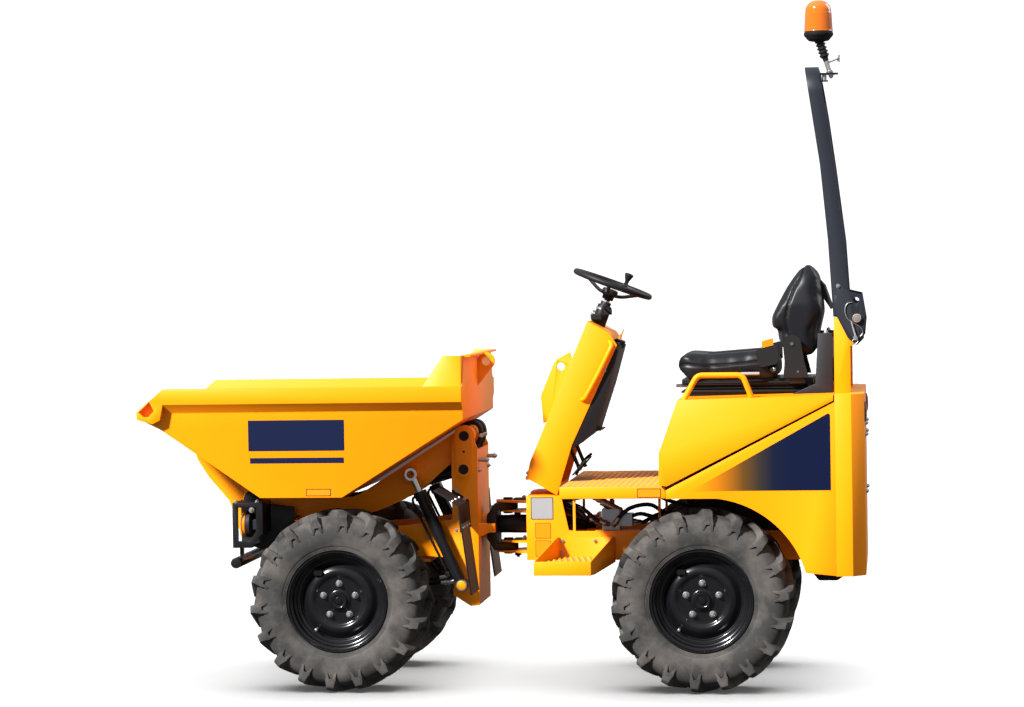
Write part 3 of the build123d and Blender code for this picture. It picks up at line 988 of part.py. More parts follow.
HINGE_PLATE = ((-1383, 1650), (-1428, 1617), (-1480, 1604), (-1497, 1499), (-1490, 1426), (-1462, 1398),
               (-1426, 1427), (-1379, 1521))
HOOP_SIDE = (
    (-1368, POST_TOP_Z), (-1350, 1825), (-1322, 2129), (-1296, 2312), (-1263, ROPS_TOP_Z),
    (-1319, ROPS_TOP_Z), (-1349, 2345), (-1378, 2129), (-1415, 1824), (-1434, POST_TOP_Z),
)
HOOP_OUT = POST_HALF_SPACING + ROPS_TUBE_WIDTH / 2
HOOP_IN = POST_HALF_SPACING - ROPS_TUBE_WIDTH / 2
with BuildPart() as rops_hoop:
    with BuildSketch(Plane.YZ.offset(-1500)) as hoop_front:
        with Locations((0, (POST_TOP_Z + ROPS_TOP_Z) / 2)):
            Rectangle(2 * HOOP_OUT, ROPS_TOP_Z - POST_TOP_Z)
        top_corners = hoop_front.vertices().group_by(Axis.Y)[-1]
        fillet(top_corners, ROPS_CORNER)
        with Locations((0, (POST_TOP_Z + ROPS_TOP_Z) / 2 - ROPS_TUBE_WIDTH / 2)):
            RectangleRounded(2 * HOOP_IN, ROPS_TOP_Z - POST_TOP_Z - ROPS_TUBE_WIDTH,
                             ROPS_CORNER - ROPS_TUBE_WIDTH, mode=Mode.SUBTRACT)
        with Locations((0, POST_TOP_Z)):
            Rectangle(2 * HOOP_IN, 200, mode=Mode.SUBTRACT)
    extrude(hoop_front.sketch, amount=300)
    plate(HOOP_SIDE, -HOOP_OUT - 1, HOOP_OUT + 1, Mode.INTERSECT)
    for side in (1, -1):
        # spacer block and hinge plate outside the tube
        block(-1424, -1372, *between(side, HOOP_OUT - 1, POST_OUT + 2), POST_TOP_Z + 6, 1600)
        y_low, y_high = between(side, POST_OUT + 1, POST_OUT + 1 + ROPS_PLATE)
        plate(HINGE_PLATE, y_low, y_high)
        rod_y(12, (-1461, 1580), y_low - 1, y_high + 1, Mode.SUBTRACT)
        rod_y(ROPS_PIN_RADIUS + RUNNING_GAP, ROPS_PIVOT, y_low - 1, y_high + 1, Mode.SUBTRACT)
        rod_y(12, (-1460, 1426), *between(side, POST_OUT + 8, POST_OUT + 22))
save(rops_hoop, "rops_hoop")

BEACON_Y = POST_HALF_SPACING
BEACON_FOOT = (-1368.0, ROPS_TOP_Z - 32)   # where the stem starts on the hoop
BEACON_X = BEACON_FOOT[0] + 45
BEACON_BASE_Z = BEACON_FOOT[1] + 133
BEACON_SECTION = (  # radius, height above the base: the base, then the ringed lens
    (0, 0), (40, 0), (46, 8), (46, 20), (BEACON_RADIUS + 3, 23), (BEACON_RADIUS + 3, 36),
    (BEACON_RADIUS, 39), (BEACON_RADIUS, 60), (BEACON_RADIUS - 2, 62), (BEACON_RADIUS - 1, 64),
    (BEACON_RADIUS - 2, 84), (BEACON_RADIUS - 4, 86), (BEACON_RADIUS - 3, 88), (BEACON_RADIUS - 6, 120),
)
DOME_FOOT_Z = BEACON_BASE_Z + BEACON_SECTION[-1][1]
DOME_TOP_Z = DOME_FOOT_Z + BEACON_DOME_HEIGHT
with BuildPart() as beacon:
    block(-1400, -1325.4, BEACON_Y - 20, BEACON_Y + 20, ROPS_TOP_Z - 37, ROPS_TOP_Z - 31)
    rod_z(11, -1371, BEACON_Y, ROPS_TOP_Z - 53, ROPS_TOP_Z - 36)
    rod_slanted(10, BEACON_FOOT, STEM_DIRECTION, BEACON_Y, 0, 80)
    # the rubber stem with its rings
    rod_slanted(16, BEACON_FOOT, STEM_DIRECTION, BEACON_Y, 68, 148)
    for ring_at in (74, 88, 102, 116):
        rod_slanted(20, BEACON_FOOT, STEM_DIRECTION, BEACON_Y, ring_at, ring_at + 7)
    wall = [(radius, BEACON_BASE_Z + up) for radius, up in BEACON_SECTION]
    shoulder = (BEACON_RADIUS - 15, DOME_FOOT_Z + BEACON_DOME_HEIGHT * 26 / 42)
    with BuildSketch(Plane(origin=(BEACON_X, BEACON_Y, 0), x_dir=(1, 0, 0), z_dir=(0, -1, 0))) as lens:
        with BuildLine():
            Polyline(*wall)
            ThreePointArc(wall[-1], shoulder, (18, DOME_TOP_Z))
            Polyline((18, DOME_TOP_Z), (0, DOME_TOP_Z), wall[0])
        make_face()
    revolve(lens.sketch, axis=Axis((BEACON_X, BEACON_Y, 0), (0, 0, 1)))
save(beacon, "beacon")
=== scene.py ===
"""Looks of the site dumper, for Blender: materials, small hardware, hoses, seat, camera and light."""

import json
import math

import bmesh
import bpy
from mathutils import Matrix, Vector
from mathutils.bvhtree import BVHTree

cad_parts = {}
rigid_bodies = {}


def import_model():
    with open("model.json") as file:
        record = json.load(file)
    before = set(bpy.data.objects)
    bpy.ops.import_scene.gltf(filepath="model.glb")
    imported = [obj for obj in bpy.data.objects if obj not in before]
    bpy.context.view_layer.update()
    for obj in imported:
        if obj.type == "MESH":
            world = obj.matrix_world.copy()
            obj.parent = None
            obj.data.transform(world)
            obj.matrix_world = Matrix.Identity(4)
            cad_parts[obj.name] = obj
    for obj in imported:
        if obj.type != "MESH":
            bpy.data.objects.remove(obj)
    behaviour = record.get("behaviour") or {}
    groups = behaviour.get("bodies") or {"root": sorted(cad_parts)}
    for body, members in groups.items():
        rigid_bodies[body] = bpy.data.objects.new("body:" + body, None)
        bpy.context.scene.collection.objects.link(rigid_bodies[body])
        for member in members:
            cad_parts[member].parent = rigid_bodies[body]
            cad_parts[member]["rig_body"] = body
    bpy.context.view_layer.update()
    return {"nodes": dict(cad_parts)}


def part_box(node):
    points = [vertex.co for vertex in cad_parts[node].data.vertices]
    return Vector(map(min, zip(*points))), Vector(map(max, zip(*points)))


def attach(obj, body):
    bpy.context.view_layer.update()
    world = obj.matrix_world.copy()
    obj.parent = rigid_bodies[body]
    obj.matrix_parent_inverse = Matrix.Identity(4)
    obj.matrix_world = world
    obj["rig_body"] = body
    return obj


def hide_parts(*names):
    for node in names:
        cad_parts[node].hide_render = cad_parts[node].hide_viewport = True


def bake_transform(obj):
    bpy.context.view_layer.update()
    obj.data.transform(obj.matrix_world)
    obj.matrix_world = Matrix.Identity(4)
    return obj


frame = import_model()
SIDES = (("left", 1), ("right", -1))
BOTH = (1, -1)
UP = Vector((0, 0, 1))
scene = bpy.context.scene


# ---- materials
PLAIN_SPECULAR = 0.18  # paint and rubber with dust on them shine less than the shader's own 0.5


def put(node, **values):
    """Sets a node's inputs by name, with an underscore for each space."""
    for name, value in values.items():
        node.inputs[name.replace("_", " ")].default_value = value
    return node


def colour_ramp(nodes, stops):
    """A ramp of (place, colour) stops, the first at 0 and the last at 1."""
    made = nodes.new("ShaderNodeValToRGB")
    elements = made.color_ramp.elements
    elements[0].color, elements[1].color = (*stops[0][1], 1), (*stops[-1][1], 1)
    for at, tone in stops[1:-1]:
        elements.new(at).color = (*tone, 1)
    return made


def material(name, colour, rough, metal=0.0, coat=0.0, bump=0.0, bump_scale=300.0, dirt=0.0,
             dirt_colour=(0.42, 0.36, 0.27), dirt_scale=6.0, spread=0.0, clear=0.0):
    """A Principled material: optional grain in the normal, dust in patches and a small spread of tone."""
    made = bpy.data.materials.new(name)
    made.use_nodes = True
    nodes, links = made.node_tree.nodes, made.node_tree.links
    shader = put(nodes["Principled BSDF"], Base_Color=(*colour, 1), Roughness=rough, Metallic=metal,
                 Coat_Weight=coat, Coat_Roughness=0.12, Transmission_Weight=clear,
                 Specular_IOR_Level=0.5 if metal or clear else PLAIN_SPECULAR)
    place = nodes.new("ShaderNodeTexCoord").outputs["Object"]
    if dirt or spread:
        cloud = put(nodes.new("ShaderNodeTexNoise"), Scale=dirt_scale, Detail=6.0, Roughness=0.62)
        links.new(place, cloud.inputs["Vector"])
        steps = put(nodes.new("ShaderNodeMapRange"), From_Min=0.42, From_Max=0.68, To_Max=dirt or spread)
        links.new(cloud.outputs["Fac"], steps.inputs["Value"])
        other = dirt_colour if dirt else tuple(min(1.0, c * 1.25 + 0.01) for c in colour)
        mix = nodes.new("ShaderNodeMix")
        mix.data_type = "RGBA"
        put(mix, A=(*colour, 1), B=(*other, 1))
        links.new(steps.outputs["Result"], mix.inputs["Factor"])
        links.new(mix.outputs["Result"], shader.inputs["Base Color"])
    if bump:
        grain = put(nodes.new("ShaderNodeTexNoise"), Scale=bump_scale, Detail=3.0)
        links.new(place, grain.inputs["Vector"])
        relief = put(nodes.new("ShaderNodeBump"), Strength=bump, Distance=0.001)
        links.new(grain.outputs["Fac"], relief.inputs["Height"])
        links.new(relief.outputs["Normal"], shader.inputs["Normal"])
    return made


YELLOW = material("yellow_paint", (0.80, 0.242, 0.0004), 0.40, coat=0.05, bump=0.03, bump_scale=90,
                  spread=0.05)
BLACK = material("black_paint", (0.0065, 0.0065, 0.0075), 0.34, coat=0.1)
RIM = material("rim_black", (0.0032, 0.0032, 0.0042), 0.22, coat=0.25, dirt=0.15,
               dirt_colour=(0.02, 0.018, 0.016))
SLATE = material("slate_paint", (0.0115, 0.0130, 0.0185), 0.45, bump=0.05)
TOWER = material("tower_grey", (0.0135, 0.0138, 0.0165), 0.5, bump=0.06, bump_scale=500)
CAST = material("cast_black", (0.0090, 0.0088, 0.0088), 0.45, bump=0.35, bump_scale=160)
IRON = material("engine_grey", (0.010, 0.0095, 0.0092), 0.6, bump=0.3, dirt=0.3,
                dirt_colour=(0.03, 0.024, 0.02))
AXLE = material("axle_dark", (0.013, 0.012, 0.011), 0.5, bump=0.3, dirt=0.4, dirt_colour=(0.05, 0.04, 0.03))
CHROME = material("chrome_rod", (0.55, 0.56, 0.58), 0.10, metal=1.0)
STEEL = material("steel_bare", (0.30, 0.31, 0.33), 0.30, metal=1.0, bump=0.05)
ZINC = material("zinc", (0.42, 0.42, 0.41), 0.34, metal=0.9)
RUBBER = material("tyre_rubber", (0.029, 0.0275, 0.0265), 0.80, bump=0.35, bump_scale=240, dirt=0.9,
                  dirt_colour=(0.082, 0.073, 0.065), dirt_scale=9)
HOSE = material("hose_black", (0.0070, 0.0070, 0.0075), 0.5, bump=0.15, bump_scale=900)
# Brown over the black flaps: dust, and a painted sheen of light on their rear faces.
FLAP_DUST_AND_SHEEN = material("flap_dust_and_painted_sheen", (0.125, 0.080, 0.048), 0.8, bump=0.2, dirt=0.5,
                dirt_colour=(0.10, 0.075, 0.05))
VINYL = material("seat_vinyl", (0.0062, 0.0064, 0.0082), 0.38, bump=0.3, bump_scale=420)
PLASTIC = material("black_plastic", (0.0080, 0.0080, 0.0088), 0.5, bump=0.12, bump_scale=600)
NAVY = material("navy_sticker", (0.0022, 0.0060, 0.028), 0.4)
ORANGE = material("orange_plastic", (0.70, 0.17, 0.003), 0.3)
AMBER = material("beacon_amber", (0.62, 0.14, 0.002), 0.08, clear=0.35, coat=0.6)
LENS = material("lamp_lens", (0.35, 0.36, 0.37), 0.06, clear=0.7, coat=0.5)
SILVER = material("silver_plate", (0.30, 0.305, 0.31), 0.4, metal=0.3)
DEEP_YELLOW = material("sticker_yellow", (0.62, 0.19, 0.001), 0.45)
SAND = material("anti_slip", (0.36, 0.21, 0.075), 0.85, bump=0.5, bump_scale=500, dirt=0.5,
                dirt_colour=(0.26, 0.19, 0.11))
# Darker than the vinyl: painted shade in the groove of the pressed seam.
PIPING_SEAM_SHADE = material("seat_piping_seam_shade", (0.0022, 0.0022, 0.0026), 0.45)
GLOW = material("beacon_glow", (0.9, 0.42, 0.02), 0.3)
LAMP_RED = material("rear_lamp_red", (0.30, 0.004, 0.004), 0.15, coat=0.5)

NODE_LOOKS = {
    YELLOW: ("body_sides", "console", "counterweight", "deck_plate", "engine_cover", "front_frame",
             "lift_arm", "rear_chassis", "rops_posts", "side_steps", "skip"),
    BLACK: ("bumper_frame", "lift_barrel_left", "lift_barrel_right", "steer_ram_barrel", "tip_barrel",
            "seat_base"),
    SLATE: ("rops_hoop",),
    TOWER: ("belt_tower",),
    CAST: ("yoke", "nose_shaft"),
    IRON: ("engine_block",),
    AXLE: ("front_axle", "rear_axle"),
    CHROME: ("lift_rod_left", "lift_rod_right", "steer_ram_rod", "tip_rod"),
    STEEL: ("valve_block",),
    PLASTIC: ("dash", "steering_column", "mudguards", "steering_wheel"),
    VINYL: ("seat_back", "seat_cushion"),
    AMBER: ("beacon",),
    LENS: ("front_lamps",),
    RIM: ("rim_front_left", "rim_front_right", "rim_rear_left", "rim_rear_right"),
    RUBBER: ("tyre_front_left", "tyre_front_right", "tyre_rear_left", "tyre_rear_right"),
}
for look, names in NODE_LOOKS.items():
    for name in names:
        node = frame["nodes"][name]
        node.data.materials.clear()
        node.data.materials.append(look)


# ---- building blocks
def finish_mesh(name, mesh, look, body, angle=35, replaced=()):
    """Links a mesh as a piece that rides on a body, shaded smooth up to an angle."""
    mesh.materials.clear()
    mesh.materials.append(look)
    mesh.shade_smooth()
    mesh.set_sharp_from_angle(angle=math.radians(angle))
    piece = bpy.data.objects.new(name, mesh)
    scene.collection.objects.link(piece)
    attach(piece, body)
    if replaced:
        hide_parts(*replaced)
    return piece


def body_of(node_name):
    return frame["nodes"][node_name]["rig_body"]


def refine(node_name, width):
    """A copy of a CAD node with merged faces and edges rounded by width, in millimetres, stands for it."""
    node = frame["nodes"][node_name]
    work = bmesh.new()
    work.from_mesh(node.data)
    bmesh.ops.remove_doubles(work, verts=work.verts, dist=0.00002)
    bmesh.ops.dissolve_limit(work, angle_limit=math.radians(0.6), verts=work.verts, edges=work.edges)
    sharp = [e for e in work.edges
             if len(e.link_faces) == 2 and e.calc_face_angle(0) > math.radians(35)]
    bmesh.ops.bevel(work, geom=sharp, offset=width / 1000, segments=2, affect="EDGES", profile=0.5,
                    clamp_overlap=True, offset_type="OFFSET")
    mesh = bpy.data.meshes.new(node_name + "_look")
    work.to_mesh(mesh)
    work.free()
    return finish_mesh(node_name + "_look", mesh, node.data.materials[0], node["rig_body"], 38, (node_name,))


def mirrored(side, *points):
    """Points given for the left half, on one side of the machine."""
    return [(x, side * y, z) for x, y, z in points]


POINT = 0.01  # the radius of a round solid's pointed end


class Pieces:
    """Gathers many small solids, in millimetres, into one mesh on one body."""

    def __init__(self, name, look, body):
        self.name, self.look, self.body = name, look, body
        self.verts, self.faces = [], []

    def add(self, verts, faces):
        start = len(self.verts)
        self.verts += [Vector(v) / 1000 for v in verts]
        self.faces += [[start + i for i in face] for face in faces]

    def loft(self, rings, closed=False):
        """Joins rings of equal length; the ends are capped unless the loft is closed."""
        count = len(rings[0])
        verts = [v for ring in rings for v in ring]
        faces = []
        for r in range(len(rings) if closed else len(rings) - 1):
            a, b = r * count, ((r + 1) % len(rings)) * count
            faces += [[a + i, a + (i + 1) % count, b + (i + 1) % count, b + i] for i in range(count)]
        if not closed:
            faces += [list(range(count))[::-1], [len(verts) - count + i for i in range(count)]]
        self.add(verts, faces)

    @staticmethod
    def ring(centre, direction, radius, count, turn=0.0):
        side, up = across(direction)
        angles = [2 * math.pi * i / count + turn for i in range(count)]
        return [Vector(centre) + radius * (side * math.cos(a) + up * math.sin(a)) for a in angles]

    def turned(self, at, direction, steps, count=24, turn=0.0):
        """A round solid from a point along a direction: steps are (distance, radius)."""
        at, along = Vector(at), Vector(direction).normalized()
        self.loft([self.ring(at + along * far, along, max(radius, POINT), count, turn)
                   for far, radius in steps])

    def rod(self, start, end, radius, count=16, chamfer=0.6):
        reach = Vector(end) - Vector(start)
        length = reach.length
        chamfer = min(chamfer, radius * 0.4, length * 0.4)
        self.turned(start, reach, ((0, radius - chamfer), (chamfer, radius), (length - chamfer, radius),
                                   (length, radius - chamfer)), count)

    def bolt(self, at, direction, radius):
        """A hexagon head on a washer; at is where it sits."""
        at, direction = Vector(at), Vector(direction).normalized()
        top = radius * 1.15
        self.rod(at, at + direction * radius * 0.22, radius * 1.45, 18, 0.3)
        self.turned(at, direction, ((0, radius), (radius * 0.85, radius), (top, radius * 0.82)), 6)
        self.turned(at + direction * top, direction,
                    ((-0.5, radius * 0.4), (radius * 0.35, radius * 0.36)), 12)

    def box(self, corner, opposite, chamfer=0.0):
        """A box between two opposite corners, given in either order."""
        lo, hi = (Vector(c) for c in zip(*(sorted(pair) for pair in zip(corner, opposite))))
        levels = ((lo.z, 0), (hi.z, 0))
        if chamfer:
            levels = ((lo.z, chamfer), (lo.z + chamfer, 0), (hi.z - chamfer, 0), (hi.z, chamfer))
        self.loft([[Vector((x, y, z)) for x, y in ((lo.x + cut, lo.y + cut), (hi.x - cut, lo.y + cut),
                                                   (hi.x - cut, hi.y - cut), (lo.x + cut, hi.y - cut))]
                   for z, cut in levels])

    def plate(self, points, near, far):
        """A flat plate of an X, Z outline between two Y values."""
        self.loft([[Vector((x, y, z)) for x, z in points] for y in sorted((near, far))])

    def tube(self, points, radius, count=12, smooth=8):
        """A round tube along a smooth line through the points."""
        line = smooth_line(points, smooth)
        rings, side = [], None
        for i, p in enumerate(line):
            along = (line[min(i + 1, len(line) - 1)] - line[max(i - 1, 0)]).normalized()
            if side is None:
                side, up = across(along)
            side = (side - along * side.dot(along)).normalized()
            up = along.cross(side)
            steps = [2 * math.pi * k / count for k in range(count)]
            rings.append([p + radius * (side * math.cos(t) + up * math.sin(t)) for t in steps])
        self.loft(rings)

    def done(self, angle=35):
        mesh = bpy.data.meshes.new(self.name)
        mesh.from_pydata(self.verts, [], self.faces)
        work = bmesh.new()
        work.from_mesh(mesh)
        bmesh.ops.recalc_face_normals(work, faces=work.faces)
        work.to_mesh(mesh)
        work.free()
        return finish_mesh(self.name, mesh, self.look, self.body, angle)


def across(direction):
    """Two unit vectors square to a direction."""
    along = Vector(direction).normalized()
    pick = UP if abs(along.z) < 0.9 else Vector((1, 0, 0))
    side = along.cross(pick).normalized()
    return side, side.cross(along).normalized() * -1


def smooth_line(points, steps):
    """A Catmull-Rom line through the points."""
    pts = [Vector(p) for p in points]
    if steps <= 1 or len(pts) < 3:
        return pts
    ends = [pts[0] * 2 - pts[1], *pts, pts[-1] * 2 - pts[-2]]
    line = []
    for i in range(1, len(ends) - 2):
        p0, p1, p2, p3 = ends[i - 1:i + 3]
        for k in range(steps):
            t = k / steps
            line.append(0.5 * ((2 * p1) + (p2 - p0) * t + (2 * p0 - 5 * p1 + 4 * p2 - p3) * t * t
                               + (3 * p1 - p0 - 3 * p2 + p3) * t ** 3))
    line.append(pts[-1])
    return line


# ---- CAD nodes with rounded edges
ROUNDED = {
    "body_sides": 1.2, "console": 1.5, "counterweight": 3.0, "deck_plate": 1.5, "engine_cover": 1.2,
    "front_frame": 1.2, "lift_arm": 1.5, "rear_chassis": 1.2, "rops_posts": 2.5, "side_steps": 1.0,
    "skip": 1.5, "bumper_frame": 1.0, "belt_tower": 1.5, "rops_hoop": 2.5, "yoke": 4.0, "nose_shaft": 1.0,
    "engine_block": 6.0, "dash": 4.0, "mudguards": 0.8, "seat_base": 1.5, "steering_column": 1.0,
}
for name, width in ROUNDED.items():
    refine(name, width)


# ---- wheels
ROUND = 120          # steps round a tyre or a rim
LUG_COUNT = 18       # on each half of the tread
PITCH_RADIUS = 352   # at which a lug's length along the tread is measured
TREAD_HALF = 130
FLANK_FOOT = 104     # distance out of a lug's root in the carcass


def turned_mesh(store, section, middle, side):
    """A ring turned about the wheel's axle from (radius, distance out) points; the section is closed."""
    angles = [2 * math.pi * k / ROUND for k in range(ROUND)]
    store.loft([[middle + Vector((r * math.sin(a), side * out, r * math.cos(a))) for r, out in section]
                for a in angles], closed=True)


CARCASS_HALF = (  # radius, distance out, from the bead to the middle of the tread
    (209, 103), (212, 108), (215, 113), (217.5, 112.2), (220, 115.2), (222.5, 114.4), (225, 117.3),
    (227.5, 116.6), (230, 119.2), (236, 121.2), (247, 124.8), (262, 127.2), (278, 127.8), (295, 126.4),
    (311, 122.4), (325, 116), (336, 106.5), (344, 93), (348.6, 72), (350, 38), (350.5, 0),
)
LUG_STATIONS = (  # along the tread, distance out, top radius, half width at the top and base, base radius
    (52, -11, 372, 7, 13, 346), (42, -7, 374, 11.5, 19, 345), (27, 7, 374, 13.5, 22, 345),
    (11, 27, 374, 13.5, 22, 345), (-4, 48, 374, 13.5, 22, 344), (-16, 68, 373, 14, 22.5, 342),
    (-25, 88, 371.5, 14, 23, 338), (-31, 106, 368, 14.5, 24, 330), (-33.5, 120, 361.5, 15, 25, 322),
    (-34.2, 127, 355, 15, 26, 318), (-34.2, 130, 349, 15, 26.5, 316),
)
LUG_FLANK = (  # along the tread from the lug's middle, radius: the shoulder with its wedge-shaped hollow
    (-15.5, 352), (15.5, 352), (28.5, 291), (17.5, 291), (0, 337), (-17.5, 291), (-28.5, 291),
)
FLANK_OFFSET = -34.2


def make_lug():
    """One bar of the tread on the +Y half as verts (along, out, radius) and faces, its edges rounded."""
    work = bmesh.new()
    rings = []
    for i, (t, y, top, half_top, half_base, base) in enumerate(LUG_STATIONS):
        before, after = LUG_STATIONS[max(i - 1, 0)], LUG_STATIONS[min(i + 1, len(LUG_STATIONS) - 1)]
        step = Vector((after[0] - before[0], after[1] - before[1])).normalized()
        right = Vector((step.y, -step.x))
        corners = ((-half_base, base), (-half_top, top), (half_top, top), (half_base, base))
        rings.append([work.verts.new((t + right.x * w, min(y + right.y * w, TREAD_HALF), r))
                      for w, r in corners])
    for a, b in zip(rings, rings[1:]):
        for k in range(4):
            work.faces.new((a[k], a[(k + 1) % 4], b[(k + 1) % 4], b[k]))
    work.faces.new(rings[0][::-1])
    work.faces.new(rings[-1])
    outer = [work.verts.new((FLANK_OFFSET + t, 130.6 - (PITCH_RADIUS - r) * 0.022, r))
             for t, r in LUG_FLANK]
    inner = [work.verts.new((FLANK_OFFSET + t, FLANK_FOOT, r)) for t, r in LUG_FLANK]
    count = len(LUG_FLANK)
    for k in range(count):
        work.faces.new((inner[k], inner[(k + 1) % count], outer[(k + 1) % count], outer[k]))
    work.faces.new(outer)
    work.faces.new(inner[::-1])
    bmesh.ops.recalc_face_normals(work, faces=work.faces)
    sharp = [e for e in work.edges if e.calc_face_angle(0) > math.radians(28)]
    bmesh.ops.bevel(work, geom=sharp, offset=2.2, segments=2, affect="EDGES", profile=0.6,
                    clamp_overlap=True)
    verts = [v.co.copy() for v in work.verts]
    faces = [[v.index for v in f.verts] for f in work.faces]
    work.free()
    return verts, faces


RIM_OUTER = (  # radius, distance out: the well, the outer flange with its lip, then the bowl to the disc
    (194, -72), (168, -30), (168, 58), (194, 72), (194, 98.5), (197, 101), (205, 104), (208.4, 106.5),
    (209, 110), (208, 112.4), (205, 113), (202, 112), (200, 108.5), (198, 104.5), (194, 102),
    (190.5, 100.5), (188.5, 97), (188, 90), (187.6, 81), (186, 77.5), (183, 75.8), (180, 75),
    (178.2, 72.5), (177.6, 67.5), (176, 64.6), (172, 63.2), (167, 62.5), (164, 60.5), (162.6, 57),
    (161.5, 52), (159, 51), (155, 52.5), (150, 56), (140, 63.5), (131, 69.2), (124, 72.4), (117, 73.6),
    (110, 72.8), (104, 68.4), (99, 64), (94, 62.3), (86, 62), (42, 62), (42, 52), (100, 52), (118, 61),
    (150, 40), (161, 36), (161, -30), (187, -96), (202, -112), (209, -112), (209, -107), (194, -100),
)
HUB_CAP = (  # radius, distance out
    (46, 61), (46, 66), (43, 68.5), (36, 69), (34, 71), (34, 78), (31.5, 80.6), (27, 81), (25, 79.5),
    (17, 79), (15, 80.5), (13, 84), (0.01, 84.5),
)
lug_verts, lug_faces = make_lug()


def dress_wheel(key, side):
    """Tyre, rim, nuts and valve of the wheel at one corner."""
    body = body_of(f"tyre_{key}")
    tyre_low, tyre_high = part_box(f"tyre_{key}")
    middle = (tyre_low + tyre_high) * 500
    outward = (0, side, 0)

    def point(out, radius=0.0, degrees=0.0):
        """A point at a distance out from the wheel's middle and a radius from its axle."""
        a = math.radians(degrees)
        return middle + Vector((radius * math.cos(a), side * out, radius * math.sin(a)))

    tyre = Pieces(f"tyre_{key}_look", RUBBER, body)
    full = list(CARCASS_HALF) + [(r, -out) for r, out in reversed(CARCASS_HALF[:-1])]
    turned_mesh(tyre, full + [(198, -100), (198, 100)], middle, side)
    for half, shift in ((1, 0), (-1, 0.5)):
        for k in range(LUG_COUNT):
            start = (k + shift) * 2 * math.pi / LUG_COUNT
            angles = [start + v.x / PITCH_RADIUS for v in lug_verts]
            tyre.add([middle + Vector((v.z * math.sin(a), half * v.y, v.z * math.cos(a)))
                      for v, a in zip(lug_verts, angles)], lug_faces)
    made = tyre.done(32)
    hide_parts(f"tyre_{key}")

    rim = Pieces(f"rim_{key}_look", RIM, body)
    turned_mesh(rim, RIM_OUTER, middle, side)
    rim.turned(middle, outward, [(out, r) for r, out in HUB_CAP], 48)
    rim.rod(point(-34), point(61), 58, 48)
    weight = point(56, 143, 54)
    rim.box(weight - Vector((17, 0, 12)), weight + Vector((17, side * 28, 12)), 3)
    made = rim.done(40)
    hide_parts(f"rim_{key}")

    nuts = Pieces(f"wheel_nuts_{key}", ZINC, body)
    for degrees in range(90, 450, 72):
        at = point(62, 70, degrees)
        nuts.turned(at, outward, ((-1, 14.5), (2, 14.5), (4, 12.5)), 24)
        nuts.turned(at, outward, ((3, 11.5), (14, 11.5), (17, 9)), 6, math.radians(degrees))
        nuts.turned(at, outward, ((15, 6), (22, 5.6), (23, 4.6)), 16)
    nuts.turned(point(40, 153, -51), outward,
                ((0, 8), (16, 7), (20, 4.5), (34, 4.5), (35, 5.2), (44, 5.2), (45, 3)), 16)
    nuts.done(30)


for end in ("front", "rear"):
    for side_name, side in SIDES:
        dress_wheel(f"{end}_{side_name}", side)

# ---- steering wheel
WHEEL_CENTRE = Vector((-442, 0, 1658))
WHEEL_TILT = math.radians(20.6)
WHEEL_RIGHT = Vector((math.cos(WHEEL_TILT), 0, math.sin(WHEEL_TILT)))
WHEEL_UP = Vector((-math.sin(WHEEL_TILT), 0, math.cos(WHEEL_TILT)))


def on_wheel(across_x, across_y, up):
    """A point in the steering wheel's own plane."""
    return WHEEL_CENTRE + WHEEL_RIGHT * across_x + Vector((0, across_y, 0)) + WHEEL_UP * up


GRIP_MIDDLE = 162
GRIP_RADIUS = 12.3
grip = Pieces("steering_wheel_look", PLASTIC, "steering_wheel")
turns = [2 * math.pi * j / 20 for j in range(20)]
section = [(GRIP_MIDDLE + GRIP_RADIUS * math.cos(b), GRIP_RADIUS * math.sin(b)) for b in turns]
grip.loft([[on_wheel(r * math.cos(a), r * math.sin(a), up) for r, up in section]
           for a in [2 * math.pi * k / 96 for k in range(96)]], closed=True)
for a in map(math.radians, (90, 210, 330)):
    grip.tube([on_wheel(r * math.cos(a), r * math.sin(a), up)
               for r, up in ((20, -46), (44, -44), (70, -37), (110, -20), (150, -3), (160, 0))], 7.5, 14, 6)
grip.turned(on_wheel(0, 0, -70), WHEEL_UP,
            ((0, 20), (3, 24), (16, 25), (22, 34), (40, 34), (46, 31), (48, 22)), 40)
KNOB_ANGLE = math.radians(76)
KNOB = (-GRIP_MIDDLE * math.cos(KNOB_ANGLE), -GRIP_MIDDLE * math.sin(KNOB_ANGLE))
grip.turned(on_wheel(*KNOB, 0), WHEEL_UP, ((6, 9), (12, 11.5), (16, 8), (26, 9), (38, 14), (50, 18.5),
                                           (55, 18.8), (58, 16.5), (59.5, 11), (60, 4)), 32)
grip.rod(on_wheel(*KNOB, 2), on_wheel(KNOB[0] * 0.9, KNOB[1] * 0.9, -6), 15, 20, 2)
made = grip.done(40)
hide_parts("steering_wheel")

column = Pieces("column_fittings", ZINC, "chassis")
column.turned(on_wheel(0, 0, -84), WHEEL_UP, ((0, 12), (2, 15), (10, 15), (11, 12)), 6)
column.rod(on_wheel(0, 0, -118), on_wheel(0, 0, -108), 33, 40, 2)
column.rod(on_wheel(31, 12, -150), on_wheel(44, 12, -150), 8, 12)
column.rod(on_wheel(31, -14, -134), on_wheel(42, -14, -134), 6, 12)
column.done()
stalk = Pieces("column_switch", PLASTIC, "chassis")
stalk.rod(on_wheel(-8, 20, -108), on_wheel(-8, 56, -108), 15, 20, 3)
stalk.tube([on_wheel(-8, 50, -108), on_wheel(-10, 80, -104), on_wheel(-12, 128, -92)], 4.5, 10, 4)
stalk.rod(on_wheel(-12, 122, -93), on_wheel(-12, 146, -88), 8, 16, 3)
stalk.box((-420, -52, 1528), (-384, -20, 1556), 5)
stalk.box((-396, 18, 1506), (-352, 50, 1534), 6)
stalk.done()

